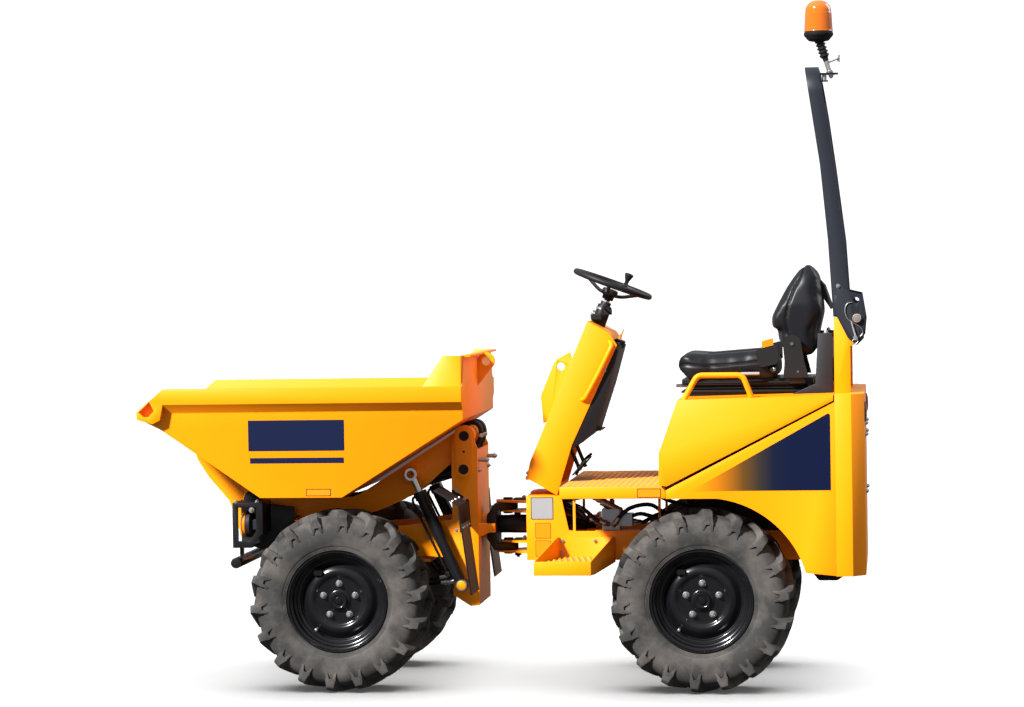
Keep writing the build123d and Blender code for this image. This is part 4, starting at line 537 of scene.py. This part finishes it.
# ---- console: grab tube, switches, key, plates
tube = Pieces("console_tubes", YELLOW, "chassis")
for side in BOTH:
    tube.tube(mirrored(side, (-441, 158, 1421), (-449, 174, 1404), (-440, 182, 1380), (-392, 182, 1286),
                       (-346, 182, 1204), (-333, 176, 1184), (-320, 158, 1180)), 9.5, 14, 6)
tube.done()
panel = Pieces("dash_panels", PLASTIC, "chassis")
panel.box((-474, -118, 1392), (-452, 118, 1414), 5)
panel.rod((-460, 0, 1392), (-468, 0, 1424), 26, 28, 4)
for y in (70, -70):
    panel.rod((-452, y, 1382), (-462, y, 1412), 15, 20, 3)
for side in BOTH:
    panel.box((-436, side * 161.2, 1288), (-404, side * 163.1344, 1342), 1)
panel.box((-392, -96, 1046), (-372, 96, 1052), 1)
panel.tube([(-262, -110, 846), (-278, -110, 880), (-300, -110, 912), (-330, -110, 938)], 6, 10, 5)
panel.done()
buttons = Pieces("dash_buttons", ZINC, "chassis")
for side in BOTH:
    for z in (1300, 1318, 1332):
        buttons.rod((-420, side * 162.5, z), (-420, side * 166, z), 5, 14)
buttons.rod((-464, 0, 1418), (-467, 0, 1428), 12, 20, 2)
for y in (-40, 40):
    buttons.bolt((-76, y, 868), (1, 0, -0.3), 7)
buttons.done()
key = Pieces("ignition_key", ORANGE, "chassis")
key.rod((-466, 0, 1424), (-474, 0, 1446), 6, 14)
key.loft([[Vector((x - 9 * rise, y, z + 24 * rise)) for x, y, z in
           ((-474, -4 - wide, 1444), (-474, 4 + wide, 1444), (-478, 4 + wide, 1443),
            (-478, -4 - wide, 1443))]
          for rise, wide in ((0, 0), (0.35, 8), (0.8, 8), (1, 3))])
key.done()


# ---- blank plates and stickers
def patch(name, look, body, points, wall, lift=0.5):
    """A thin flat sticker of an X, Z outline on a side wall; wall is the Y of the wall's face."""
    made = Pieces(name, look, body)
    made.plate(points, wall, wall + math.copysign(lift, wall))
    made.done(20)


def rectangle(x_low, x_high, z_low, z_high, cut):
    """A rectangle's outline with its corners cut."""
    return ((x_low + cut, z_low), (x_high - cut, z_low), (x_high, z_low + cut), (x_high, z_high - cut),
            (x_high - cut, z_high), (x_low + cut, z_high), (x_low, z_high - cut), (x_low, z_low + cut))


FADE = ((0.0, (0.80, 0.225, 0.001)), (0.28, (0.36, 0.11, 0.002)), (0.52, (0.085, 0.036, 0.006)),
        (0.68, (0.022, 0.017, 0.014)), (0.82, (0.0032, 0.0060, 0.019)), (1.0, (0.0018, 0.0045, 0.022)))


def fading(name, x_paint, x_dark):
    """A dark field that fades into the paint along X, in metres."""
    made = bpy.data.materials.new(name)
    made.use_nodes = True
    nodes, links = made.node_tree.nodes, made.node_tree.links
    split = nodes.new("ShaderNodeSeparateXYZ")
    links.new(nodes.new("ShaderNodeTexCoord").outputs["Object"], split.inputs["Vector"])
    share = put(nodes.new("ShaderNodeMapRange"), From_Min=x_paint, From_Max=x_dark)
    links.new(split.outputs["X"], share.inputs["Value"])
    ramp = colour_ramp(nodes, FADE)
    links.new(share.outputs["Result"], ramp.inputs["Fac"])
    shader = put(nodes["Principled BSDF"], Roughness=0.3, Specular_IOR_Level=0.2)
    links.new(ramp.outputs["Color"], shader.inputs["Base Color"])
    return made


SKIP_WALL, NOSE_WALL, SKIRT_WALL, BODY_WALL = 445, 200, 450, 481
STICKERS = (  # name, look, body, lowest and highest X and Z with the corners' cut, wall, thickness
    ("skip_plate", NAVY, "skip", (631, 1034, 995, 1122, 2), SKIP_WALL, 0.5),
    ("skip_stripe", NAVY, "skip", (634, 1028, 944, 967, 1), SKIP_WALL, 0.5),
    ("skip_sticker_edge", PLASTIC, "skip", (691, 795, 808, 838, 2), SKIP_WALL, 0.4),
    ("skip_sticker", DEEP_YELLOW, "skip", (694, 792, 811, 835, 2), SKIP_WALL, 0.8),
    ("data_plate_edge", PLASTIC, "chassis", (-199, -105, 685, 778, 3), NOSE_WALL, 0.6),
    ("data_plate", SILVER, "chassis", (-196, -108, 688, 775, 3), NOSE_WALL, 1.1),
    ("notice_edge_upper", PLASTIC, "chassis", (-187, -122, 606, 671, 3), NOSE_WALL, 0.5),
    ("notice_upper", DEEP_YELLOW, "chassis", (-185, -124, 608, 669, 3), NOSE_WALL, 0.9),
    ("notice_edge_lower", PLASTIC, "chassis", (-187, -122, 530, 598, 3), NOSE_WALL, 0.5),
    ("notice_lower", DEEP_YELLOW, "chassis", (-185, -124, 532, 596, 3), NOSE_WALL, 0.9),
    ("skirt_sticker_edge", PLASTIC, "chassis", (-669, -572, 795, 832, 2), SKIRT_WALL, 0.4),
    ("skirt_sticker", DEEP_YELLOW, "chassis", (-666, -575, 798, 829, 2), SKIRT_WALL, 0.8),
)
fade = fading("side_fade", -0.79, -1.20)
for word, side in SIDES:
    for name, look, body, extent, wall, lift in STICKERS:
        patch(f"{name}_{word}", look, body, rectangle(*extent), side * wall, lift)
    patch(f"side_fade_{word}", fade, "chassis",
          ((-789, 823), (-895, 881), (-1345, 1132), (-1353, 1126), (-1353, 823)), side * BODY_WALL)

# ---- beacon
BEACON = Vector((-1323, 295, 0))  # on the ground below it: its steps are heights
LENS_FOOT, DOME_FOOT, BEACON_TOP = 2668, 2750, 2794
beacon_body = body_of("beacon")
ribs = [(z, 57.5 - (z - LENS_FOOT) * 0.055 + (0.9 if z // 4 % 2 else -0.3)) for z in range(2672, 2748, 4)]
dome = [(DOME_FOOT + 44 * math.sin(a), 8 + 44.5 * math.cos(a))
        for a in map(math.radians, range(0, 100, 10))]
lens = Pieces("beacon_lens", AMBER, beacon_body)
lens.turned(BEACON, UP, [(2666, 54), (2669, 58.5)] + ribs + dome + [(BEACON_TOP, POINT)], 64)
lens.done(50)
core = Pieces("beacon_core", GLOW, beacon_body)
core.turned(BEACON, UP, ((2670, 30), (2735, 26), (2745, 10)), 24)
core.done()
base = Pieces("beacon_base", PLASTIC, beacon_body)
base.turned(BEACON, UP, ((2628, 26), (2631, 40), (2638, 47), (2650, 57), (2653, 59.5), (2662, 59.5),
                         (LENS_FOOT - 4, 57), (LENS_FOOT, 57)), 56)
STEM_FOOT, STEM_TOP = Vector((-1368, 295, 2499)), Vector((-1323, 295, 2642))
STEM = STEM_TOP - STEM_FOOT
stem_steps = [(52, 11), (66, 12), (68, 16)]
for at in range(72, 147, 15):
    stem_steps += [(at, 15.5), (at + 1, 20), (at + 8, 20), (at + 9, 15.5)]
base.turned(STEM_FOOT, STEM, stem_steps + [(149, 22)], 32)
base.done(40)
bracket = Pieces("beacon_bracket", BLACK, beacon_body)
bracket.box((-1400, 275, 2494), (-1325.6, 315, 2500), 1)
bracket.box((-1360, 277, 2466), (-1325.6, 313, 2470), 1)
bracket.box((-1331, 279, 2466), (-1325.6, 311, 2499), 1)
made = bracket.done()
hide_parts("beacon")
bolts = Pieces("beacon_bolts", ZINC, beacon_body)
bolts.turned(STEM_FOOT, STEM, ((-4, 10), (2, 14), (10, 14), (12, 10), (54, 10)), 24)
bolts.bolt((-1371, 295, 2494), (0, 0, -1), 11)
bolts.rod((-1344, 295, 2470), (-1344, 295, 2494), 9)
bolts.bolt((-1394, 288, 2556), (-0.8, 0, 0.3), 8)
bolts.rod((-1352, 292, 2540), (-1396, 288, 2557), 4)
bolts.box((-1408, 284, 2544), (-1400, 292, 2574), 2)
bolts.done()

# ---- folding frame hinge
for word, side in SIDES:
    pins = Pieces(f"frame_pins_{word}", ZINC, "rops")
    pins.rod((-1463, side * 341.5, 1507), (-1463, side * 351, 1507), 17.5, 28, 2)
    pins.rod((-1463, side * 350, 1507), (-1463, side * 353, 1507), 9, 20)
    pins.bolt((-1389, side * 334.2, 1638), (0, side, 0), 6)
    pins.rod((-1440, side * 340.2, 1496), (-1457, side * 348.2, 1432), 4, 10)
    pins.rod((-1456, side * 346, 1427), (-1456, side * 352, 1427), 9, 18)
    pins.tube(mirrored(side, (-1456, 350, 1427), (-1444, 352, 1416), (-1452, 352, 1404), (-1466, 351, 1412),
                       (-1461, 350, 1426)), 1.6, 8, 6)
    pins.tube(mirrored(side, (-1444, 337, 1572), (-1424, 339, 1566), (-1415, 340, 1540), (-1424, 342, 1508),
                       (-1440, 341, 1494)), 1.5, 8, 8)
    pins.tube(mirrored(side, (-1445, 342, 1490), (-1472, 343, 1474), (-1486, 342, 1452),
                       (-1476, 342, 1434)), 1.1, 6, 8)
    pins.done()

# ---- rear body and cover
trim = Pieces("cover_trim", PLASTIC, "engine_cover")
trim.rod((-664, 0, 929), (-641, 0, 929), 7.6, 16)
trim.rod((-646, -27, 929), (-646, 27, 929), 6.8, 16, 3)
trim.rod((-662, 0, 929), (-668, 0, 929), 20, 24)
trim.done()
fixings = Pieces("body_bolts", ZINC, "chassis")
for side in BOTH:
    for z in (1072, 1026, 792):
        fixings.bolt((-1489, side * 130, z), (-1, 0, 0), 9)
    for x, z in ((-237, 596), (-237, 546), (-372, 596)):
        fixings.bolt((x, side * 201, z), (0, side, 0), 8)
fixings.done()
tower_bolts = Pieces("tower_bolts", ZINC, "engine_cover")
for side in BOTH:
    tower_bolts.bolt((-1336, side * 228, 1446), UP, 9)
tower_bolts.done()
lamps = Pieces("rear_lamps", LAMP_RED, "chassis")
lamp_rims = Pieces("rear_lamp_rims", PLASTIC, "chassis")
for side in BOTH:
    at = (-1489, side * 350, 1130)
    lamps.turned(at, (-1, 0, 0), ((0, 34), (4, 34), (8, 28), (9.5, 14)), 32)
    lamp_rims.turned(at, (-1, 0, 0), ((-1, 42), (3, 42), (5, 38), (5.2, 34)), 32)
lamps.done()
lamp_rims.done()

# ---- deck and steps
mat = Pieces("deck_mat", SAND, "chassis")
mat.box((-680, -444, 838), (-262, 444, 838.7))
for side in BOTH:
    inner, outer = side * 206, side * 474
    mat.loft([[Vector((x, y, z)) for x, y in ((-226, inner), (-156, outer), (-376, outer), (-446, inner))]
              for z in (528, 528.6)])
mat.done()
DOT_STEP_X, DOT_STEP_Y = 25.5, 28       # on the deck
TREAD_STEP_X, TREAD_STEP_OUT = 25, 29   # on a step
dots = Pieces("deck_dots", YELLOW, "chassis")
for row in range(16):
    for column in range(31):
        x = -662 + row * DOT_STEP_X
        y = -420 + column * DOT_STEP_Y + (DOT_STEP_Y / 2 if row % 2 else 0)
        under_console = x > -345 and abs(y) < 175
        if y < 438 and not under_console:
            dots.turned((x, y, 838.5), UP, ((0, 8), (1.4, 6.4), (2.2, 2.5)), 10)
for side in BOTH:
    for row in range(9):
        out = 222 + row * TREAD_STEP_OUT
        middle_x = -339 + (out - 200) / 281 * 74
        for column in range(8):
            x = middle_x - 88 + column * TREAD_STEP_X + (12 if row % 2 else 0)
            dots.turned((x, side * out, 528.3), UP, ((0, 8), (3.5, 6), (5, 3.5)), 8)
dots.done()

# ---- hoses and fittings in the chassis window
hoses = Pieces("chassis_hoses", HOSE, "chassis")
HOSE_ROUTES = (
    ((-372, 58, 668), (-335, 60, 672), (-285, 66, 692), (-215, 62, 712), (-130, 40, 690)),
    ((-372, 86, 668), (-330, 90, 676), (-275, 96, 704), (-205, 84, 722), (-130, 50, 706)),
    ((-372, 114, 668), (-330, 122, 684), (-290, 132, 722), (-225, 118, 738), (-130, 58, 722)),
    ((-384, 112, 757), (-352, 112, 772), (-300, 104, 768), (-220, 88, 748), (-140, 50, 738)),
    ((-476, 112, 705), (-510, 116, 690), (-560, 120, 700), (-640, 118, 676), (-720, 100, 650),
     (-798, 96, 650)),
    ((-522, 70, 664), (-560, 60, 660), (-620, 50, 690), (-700, 46, 700), (-798, 40, 690)),
    ((-430, 60, 722), (-432, 54, 764), (-470, 20, 792), (-560, -30, 790), (-660, -60, 740),
     (-798, -70, 700)),
    ((-452, 166, 664), (-470, 174, 690), (-520, 176, 730), (-600, 168, 742), (-680, 140, 700),
     (-798, 120, 720)),
    ((-416, 166, 664), (-380, 178, 676), (-330, 176, 720), (-270, 150, 744), (-140, 60, 752)),
)
for route in HOSE_ROUTES:
    hoses.tube(route, 8.5, 14, 8)
hoses.done(50)
ends = Pieces("hose_ends", STEEL, "chassis")
for route in HOSE_ROUTES:
    way = Vector(route[1]) - Vector(route[0])
    ends.turned(route[0], way,
                ((-14, 9), (-2, 11), (0, 12.5), (10, 12.5), (12, 10), (30, 10.2), (32, 8.6)), 18)
ends.done(40)
sleeve = Pieces("centre_sleeve", HOSE, "chassis")
sleeve.turned((-100, 0, 650), (1, 0, 0), ((4, 34), (10, 38), (60, 39), (110, 38), (150, 38), (157, 34)), 40)
for y, z in ((-22, 674), (22, 676), (0, 622)):
    sleeve.rod((-104, y, z), (-60, y * 0.9, z), 9, 14)
sleeve_piece = sleeve.done(50)
sleeve_piece.parent = None
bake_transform(sleeve_piece)

# ---- mast, doublers, hoses, mudguard bolts
dark = Pieces("mast_pin_ends", CAST, "front")
for side in BOTH:
    for (x, z), radius in (((176, 1034), 21), ((180, 894), 21), ((178, 968), 5)):
        dark.rod((x, side * 169.2, z), (x, side * 172, z), radius, 32, 0.3)
dark.done()
MAST_HOSE_Y = (-64, -34, 34, 64)
MAST_HOSE = (  # X, share of the hose's Y, Z: up inside the mast, over the pivot tube and down in front
    (146, 1, 880), (145, 1, 930), (143, 1, 965), (137, 1, 987), (126, 1, 1012), (121, 0.95, 1042),
    (129, 0.92, 1070), (150, 0.9, 1084), (178, 0.9, 1079), (208, 0.95, 1058), (226, 1, 1015),
    (214, 1.1, 962),
)
mast_hoses = Pieces("mast_hoses", HOSE, "front")
for y in MAST_HOSE_Y:
    mast_hoses.tube([(x, y * share, z) for x, share, z in MAST_HOSE], 9, 14, 8)
mast_hoses.done(50)
mast_steel = Pieces("mast_fittings", ZINC, "front")
for y in MAST_HOSE_Y:
    mast_steel.turned((123, y * 0.97, 1022), (-1.5, y * -0.01, 14),
                      ((0, 10), (1, 12), (14, 12), (16, 9.6)), 18)
    mast_steel.turned((212, y * 1.1, 956), (6, 0, 19), ((-8, 12), (10, 12), (12, 10)), 6)
for side in BOTH:
    mast_steel.rod((122, side * 120, 931), (86, side * 120, 931), 9, 18)
    mast_steel.bolt((92, side * 120, 931), (-1, 0, 0), 10)
    mast_steel.bolt((122, side * 132, 889), (-1, 0, 0), 9)
    for x, z in ((210, 806), (178, 770), (180, 735), (180, 690)):
        mast_steel.bolt((x, side * 169.6, z), (0, side, 0), 5.5)
    for y in (262, 330, 398, 440):
        mast_steel.bolt((148.4, side * y, 674), (-1, 0, -0.05), 5.5)
    for y in (262, 352, 440):
        mast_steel.bolt((188, side * y, 781), (-0.53, 0, 0.85), 5.5)
    mast_steel.bolt((170, side * 449, 665), (0, side, 0), 5)
mast_steel.done()
# Thin brown sheets on the rear faces of the black mudguard flaps: dust and a painted sheen.
FLAP_OUTLINE = ((147.4, 690), (144.9, 655), (111.2, 399), (112.2, 399), (145.9, 655), (148.4, 690))
flaps = Pieces("mudguard_flap_dust_and_sheen", FLAP_DUST_AND_SHEEN, "front")
for side in BOTH:
    flaps.plate(FLAP_OUTLINE, side * 242, side * 446)
flaps.done()

# ---- lift rams
for word, side in SIDES:
    body = f"lift_barrel_{word}"
    y = side * 200
    pipe = Pieces(f"lift_pipe_{word}", BLACK, body)
    pipe.tube([(x, y, z) for x, z in ((360, 776), (384, 782), (392, 764), (374, 722), (300, 568),
                                      (262, 488), (254, 462))], 5.5, 12, 6)
    pipe.rod((343, y, 786), (366, y, 776), 10, 16)
    pipe.done(50)
    fit = Pieces(f"lift_fittings_{word}", STEEL, body)
    fit.turned((254, y, 462), (-2, 0, -10), ((-6, 8), (0, 10), (12, 10), (14, 8)), 6)
    fit.rod((222, y, 430), (252, y, 424), 9, 16)
    fit.turned((252, y, 424), (1, 0, 0), ((0, 8), (2, 11), (12, 11), (14, 8), (26, 8)), 18)
    fit.rod((252, y, 450), (284, y, 444), 8, 16)
    fit.done(40)
    cap = Pieces(f"lift_pin_cap_{word}", CHROME, "front")
    cap.turned((189, side * 219, 414), (0, side, 0), ((0, 25), (5, 25), (6, 24)), 36)
    cap.done()
    pin = Pieces(f"lift_pin_{word}", YELLOW, "front")
    pin.turned((189, side * 224, 414), (0, side, 0), ((0, 19), (2, 19), (3, 17.5)), 32)
    pin.done()
    eye = Pieces(f"lift_eye_{word}", YELLOW, body_of(f"lift_rod_{word}"))
    eye.turned((396, side * 219, 878), (0, side, 0), ((0, 17), (4, 17), (7, 15.5)), 32)
    eye.done()
    run = Pieces(f"lift_hoses_{word}", HOSE, body)
    for way in (((284, 200, 444), (312, 194, 436), (345, 178, 452), (380, 174, 500)),
                ((278, 200, 424), (306, 194, 416), (345, 178, 420), (392, 174, 476))):
        run.tube(mirrored(side, *way), 7.5, 12, 6)
    run_piece = run.done(50)
    run_piece.parent = None
    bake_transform(run_piece)

# ---- centre joint
keepers = Pieces("clevis_keepers", CAST, "chassis")
for z_top in (753, 583):
    keepers.box((-62, -26, z_top), (-8, 26, z_top + 7), 2)
for z_face in (703, 533):
    keepers.turned((-22, 0, z_face), -UP, ((-1, 12), (3, 15), (15, 15), (17, 12)), 6)
    keepers.turned((-22, 0, z_face - 15), -UP, ((0, 7), (9, 6.5)), 16)
keepers.done()
keeper_bolts = Pieces("clevis_bolts", ZINC, "chassis")
for z in (760, 590):
    for y in (14, -14):
        keeper_bolts.bolt((-50, y, z), UP, 7)
keeper_bolts.done()

# ---- front lamps
housing = Pieces("front_lamp_housings", TOWER, "front")
ring = Pieces("front_lamp_rings", ORANGE, "front")
glass = Pieces("front_lamp_glass", LENS, "front")
for side in BOTH:
    at, ahead = (1050, side * 265, 678), (1, 0, 0)
    housing.turned(at, ahead, ((0, 24), (2, 30), (14, 50), (18, 56), (34, 56), (36, 53)), 48)
    ring.turned(at, ahead, ((35, 53), (37, 57), (47, 57), (49, 53)), 48)
    glass.turned(at, ahead, ((48, 52), (52, 50), (57, 40), (60, 20), (60.5, POINT)), 48)
    housing.box((1013, side * 225, 655), (1054, side * 305, 700), 4)
    ring.turned((1050, side * 200, 716), ahead, ((10, 17), (24, 18), (40, 16), (46, 8)), 28)
    housing.box((1013, side * 190, 704), (1062, side * 212, 728), 4)
made = housing.done()
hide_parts("front_lamps")
ring.done()
glass.done()
lamp_steel = Pieces("bumper_bolts", ZINC, "front")
for side in BOTH:
    for at, direction in (((1052, 332, 742), (0, side, 0)), ((1035, 300, 772), UP), ((1106, 290, 584), -UP),
                          ((1119, 318, 772), (0.3, 0, 1))):
        lamp_steel.bolt(*mirrored(side, at), direction, 8)
    lamp_steel.turned((1106, side * 287, 540), -UP, ((-6, 12), (8, 12), (9, 9)), 20)
    lamp_steel.rod((1100, side * 334, 521), (1102, side * 334, 521), 2, 8)
lamp_steel.done()

# ---- seat
VOXEL = 0.005        # of the remesh
PAD_SHRINK = 0.006   # a pad starts smaller on every side, and then swells
PAD_CAP = 0.010      # the most that a point may move
CLOTH_FRAMES = 20


def soften(pad, rounds):
    """Smooths a pad."""
    smooth = pad.modifiers.new("soften", "SMOOTH")
    smooth.factor = 0.5
    smooth.iterations = rounds


def inflate(node_name):
    """The CAD's plain cushion as a stuffed one: remeshed, blown up a little as cloth, and smoothed."""
    mesh = frame["nodes"][node_name].data.copy()
    low_corner, high_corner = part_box(node_name)
    middle, size = (low_corner + high_corner) / 2, high_corner - low_corner
    factors = [(s - 2 * PAD_SHRINK) / s for s in size]
    for vertex in mesh.vertices:
        vertex.co = Vector([m + (c - m) * f for m, c, f in zip(middle, vertex.co, factors)])
    pad = bpy.data.objects.new(node_name + "_pad", mesh)
    scene.collection.objects.link(pad)
    remesh = pad.modifiers.new("remesh", "REMESH")
    remesh.mode = "VOXEL"
    remesh.voxel_size = VOXEL
    soften(pad, 6)
    keep_result(pad)
    start = [v.co.copy() for v in pad.data.vertices]
    cloth = pad.modifiers.new("cloth", "CLOTH")
    cloth.settings.use_pressure = True
    cloth.settings.uniform_pressure_force = 4
    cloth.settings.effector_weights.gravity = 0
    cloth.settings.quality = 4
    for step in range(1, CLOTH_FRAMES + 1):
        scene.frame_set(step)
    keep_result(pad)
    scene.frame_set(1)
    for vertex, before in zip(pad.data.vertices, start):
        move = vertex.co - before
        if move.length > PAD_CAP:
            vertex.co = before + move.normalized() * PAD_CAP
    soften(pad, 24)
    keep_result(pad)
    return pad


def keep_result(piece):
    """Applies a piece's modifiers."""
    shown = piece.evaluated_get(bpy.context.evaluated_depsgraph_get())
    made = bpy.data.meshes.new_from_object(shown)
    piece.modifiers.clear()
    piece.data = made


def groove(pad, line, reach=0.011, depth=0.0075):
    """Presses a seam into the pad's side faces along a line in the X, Z plane."""
    points = [Vector((x / 1000, z / 1000)) for x, z in line]
    for vertex in pad.data.vertices:
        here = Vector((vertex.co.x, vertex.co.z))
        near = 1.0
        for a, b in zip(points, points[1:]):
            along = b - a
            share = max(0.0, min(1.0, (here - a).dot(along) / along.length_squared))
            near = min(near, (here - a - along * share).length)
        if near < reach and abs(vertex.normal.y) > 0.35:
            vertex.co -= vertex.normal * depth * (1 - near / reach) ** 2


def side_point(tree, x, z, side):
    """Where the pad's side lies at X, Z, in millimetres."""
    hit = tree.ray_cast(Vector((x / 1000, side * 0.6, z / 1000)), Vector((0, -side, 0)))[0]
    return None if hit is None else hit * 1000


def seat_pad(node_name, body, seam):
    """A stuffed pad with a pressed seam and piping stands for a plain cushion."""
    pad = inflate(node_name)
    groove(pad, seam)
    divide = pad.modifiers.new("smooth", "SUBSURF")
    divide.levels = divide.render_levels = 1
    keep_result(pad)
    pad.data.materials.clear()
    pad.data.materials.append(VINYL)
    pad.data.shade_smooth()
    tree = BVHTree.FromPolygons([v.co for v in pad.data.vertices], [p.vertices for p in pad.data.polygons])
    # The piping sits at the bottom of the pressed groove. It is darker than the vinyl, as painted shade of
    # the groove.
    piping = Pieces(node_name + "_piping", PIPING_SEAM_SHADE, body)
    steps = [k / 8 for k in range(8)]
    for side in BOTH:
        found = [side_point(tree, a[0] + (b[0] - a[0]) * t, a[1] + (b[1] - a[1]) * t, side)
                 for a, b in zip(seam, seam[1:]) for t in steps]
        piping.tube([(p.x, p.y - side * 0.8, p.z) for p in found if p is not None], 2.6, 8, 2)
    piping.done(60)
    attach(pad, body)
    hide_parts(node_name)


seat_body = body_of("seat_cushion")
seat_pad("seat_cushion", seat_body,
         ((-722, 1322), (-760, 1322), (-850, 1316), (-950, 1322), (-1060, 1332), (-1145, 1340)))
seat_pad("seat_back", seat_body, ((-1252, 1728), (-1236, 1690), (-1206, 1630), (-1184, 1566), (-1172, 1505),
                                  (-1178, 1445), (-1196, 1415)))

hard = Pieces("seat_trim", PLASTIC, seat_body)
hard.plate(((-1305, 1668), (-1330, 1640), (-1362, 1545), (-1354, 1541), (-1322, 1590), (-1300, 1640)),
           -115, 115)
ARM_FOOT = ((-1047, 1373), (-1058, 1384), (-1128, 1402), (-1140, 1396), (-1141, 1332), (-1130, 1322),
            (-1072, 1310), (-1060, 1318))
RECLINER = [(-1197 + 37 * math.cos(a), 1404 + 37 * math.sin(a))
            for a in map(math.radians, range(0, 195, 15))]
RECLINER += [(-1246, 1330), (-1262, 1266), (-1160, 1266), (-1166, 1330)]
for side in BOTH:
    hard.plate(ARM_FOOT, side * 205, side * 246)
    hard.plate(RECLINER, side * 226.5, side * 240)
    hard.rod((-1120, side * 210, 1300), (-1120, side * 236, 1300), 15, 20, 3)
    hard.rod((-1020, side * 190, 1293), (-1090, side * 190, 1293), 5, 12)
hard.box((-1270, -200, 1206), (-738, 200, 1214), 3)
hard.box((-1262, -202, 1242), (-752, 202, 1250), 3)
for k in range(5):
    z, out = 1216 + k * 5, 182 + 5 * (k % 2)
    hard.box((-1256, -out, z), (-764, out, z + 5), 2)
hard.done()
rails = Pieces("seat_rails", STEEL, seat_body)
for side in BOTH:
    rails.box((-1230, side * 150, 1228), (-716, side * 180, 1242), 2)
    rails.turned((-1197, side * 239, 1404), (0, side, 0), ((0, 9), (4, 9), (6, 7.5)), 6)
    rails.turned((-1124, side * 235, 1300), (0, side, 0), ((0, 7), (3, 7), (4, 5)), 6)
    rails.rod((-1220, side * 240, 1290), (-1220, side * 242, 1290), 5, 12)
rails.done()
lever = Pieces("seat_lever", SILVER, seat_body)
lever.rod((-985, 240, 1284), (-1064, 234, 1284), 6.5, 14, 3)
lever.done()
buckle = Pieces("belt_buckle", ORANGE, seat_body)
buckle.plate(((-1074, 1380), (-1122, 1398), (-1118, 1428), (-1074, 1416)), 212, 240)
buckle.done()


# ---- camera, light, floor
def aim(thing, location, yaw, pitch, roll):
    """Points a camera: yaw from -Y towards +X, pitch down, roll about the view."""
    forward = Vector((math.sin(yaw) * math.cos(pitch), -math.cos(yaw) * math.cos(pitch), -math.sin(pitch)))
    right = forward.cross(UP).normalized()
    up = right.cross(forward)
    right_rolled = right * math.cos(roll) + up * math.sin(roll)
    up_rolled = up * math.cos(roll) - right * math.sin(roll)
    rotation = Matrix((right_rolled, up_rolled, -forward)).transposed()
    thing.matrix_world = Matrix.Translation(Vector(location)) @ rotation.to_4x4()


def sun_light(name, energy, angle, direction):
    """A sun with its size in degrees and the way it shines."""
    made = bpy.data.objects.new(name, bpy.data.lights.new(name, "SUN"))
    scene.collection.objects.link(made)
    made.data.energy = energy
    made.data.angle = math.radians(angle)
    made.rotation_euler = Vector(direction).to_track_quat("-Z", "Y").to_euler()
    return made


camera = bpy.data.objects.new("camera", bpy.data.cameras.new("camera"))
scene.collection.objects.link(camera)
camera.data.lens = 98.6
camera.data.sensor_width = 36
camera.data.clip_end = 200
aim(camera, location=(-1.6003, 11.7455, 1.7448), yaw=0.134610, pitch=0.031518, roll=-0.016755)
scene.camera = camera

sun = sun_light("sun", 11.5, 6, (-0.53, -0.60, -0.60))
fill = sun_light("fill", 1.4, 40, (0.70, 0.45, -0.45))
overhead = sun_light("overhead", 8.4, 70, -UP)

world = bpy.data.worlds.new("sky")
world.use_nodes = True
scene.world = world
sky_nodes, sky_links = world.node_tree.nodes, world.node_tree.links
split = sky_nodes.new("ShaderNodeSeparateXYZ")
sky_links.new(sky_nodes.new("ShaderNodeTexCoord").outputs["Generated"], split.inputs["Vector"])
# tones from straight down to straight up
SKY = ((0.0, 0.20), (0.44, 0.36), (0.52, 0.70), (0.62, 0.55), (1.0, 1.30))
ramp = colour_ramp(sky_nodes, [(at, (tone, tone, tone * 1.02)) for at, tone in SKY])
shift = put(sky_nodes.new("ShaderNodeMapRange"), From_Min=-1.0)
sky_links.new(split.outputs["Z"], shift.inputs["Value"])
sky_links.new(shift.outputs["Result"], ramp.inputs["Fac"])
background = put(sky_nodes["Background"], Strength=0.72)
sky_links.new(ramp.outputs["Color"], background.inputs["Color"])
plain = put(sky_nodes.new("ShaderNodeBackground"), Color=(1, 1, 1, 1), Strength=1.2)
rays = sky_nodes.new("ShaderNodeLightPath")
choice = sky_nodes.new("ShaderNodeMixShader")
sky_links.new(rays.outputs["Is Camera Ray"], choice.inputs["Fac"])
sky_links.new(background.outputs["Background"], choice.inputs[1])
sky_links.new(plain.outputs["Background"], choice.inputs[2])
sky_links.new(choice.outputs["Shader"], sky_nodes["World Output"].inputs["Surface"])

bpy.ops.mesh.primitive_plane_add(size=120, location=(0, 0, 0))
floor = bpy.context.object
floor.name = "floor"
pale = bpy.data.materials.new("floor_pale")
pale.use_nodes = True
put(pale.node_tree.nodes["Principled BSDF"], Base_Color=(0.35, 0.35, 0.35, 1), Roughness=0.9,
    Specular_IOR_Level=0.1, Emission_Color=(1, 1, 1, 1), Emission_Strength=0.05)
floor.data.materials.append(pale)
# the sun and the fill leave the floor alone, so that only soft shade lies under the wheels
shaded = bpy.data.collections.new("not_in_the_sun")
shaded.objects.link(floor)
for light in (sun, fill):
    light.light_linking.receiver_collection = shaded
shaded.collection_objects[0].light_linking.link_state = "EXCLUDE"
only_floor = bpy.data.collections.new("under_the_overhead_light")
only_floor.objects.link(floor)
overhead.light_linking.receiver_collection = only_floor
casts_shade = bpy.data.collections.new("tyres_that_cast_shade")
for piece in scene.objects:
    if piece.type == "MESH" and piece.name.startswith("tyre_"):
        casts_shade.objects.link(piece)
overhead.light_linking.blocker_collection = casts_shade
floor.visible_diffuse = floor.visible_glossy = False

scene.view_settings.view_transform = "Standard"
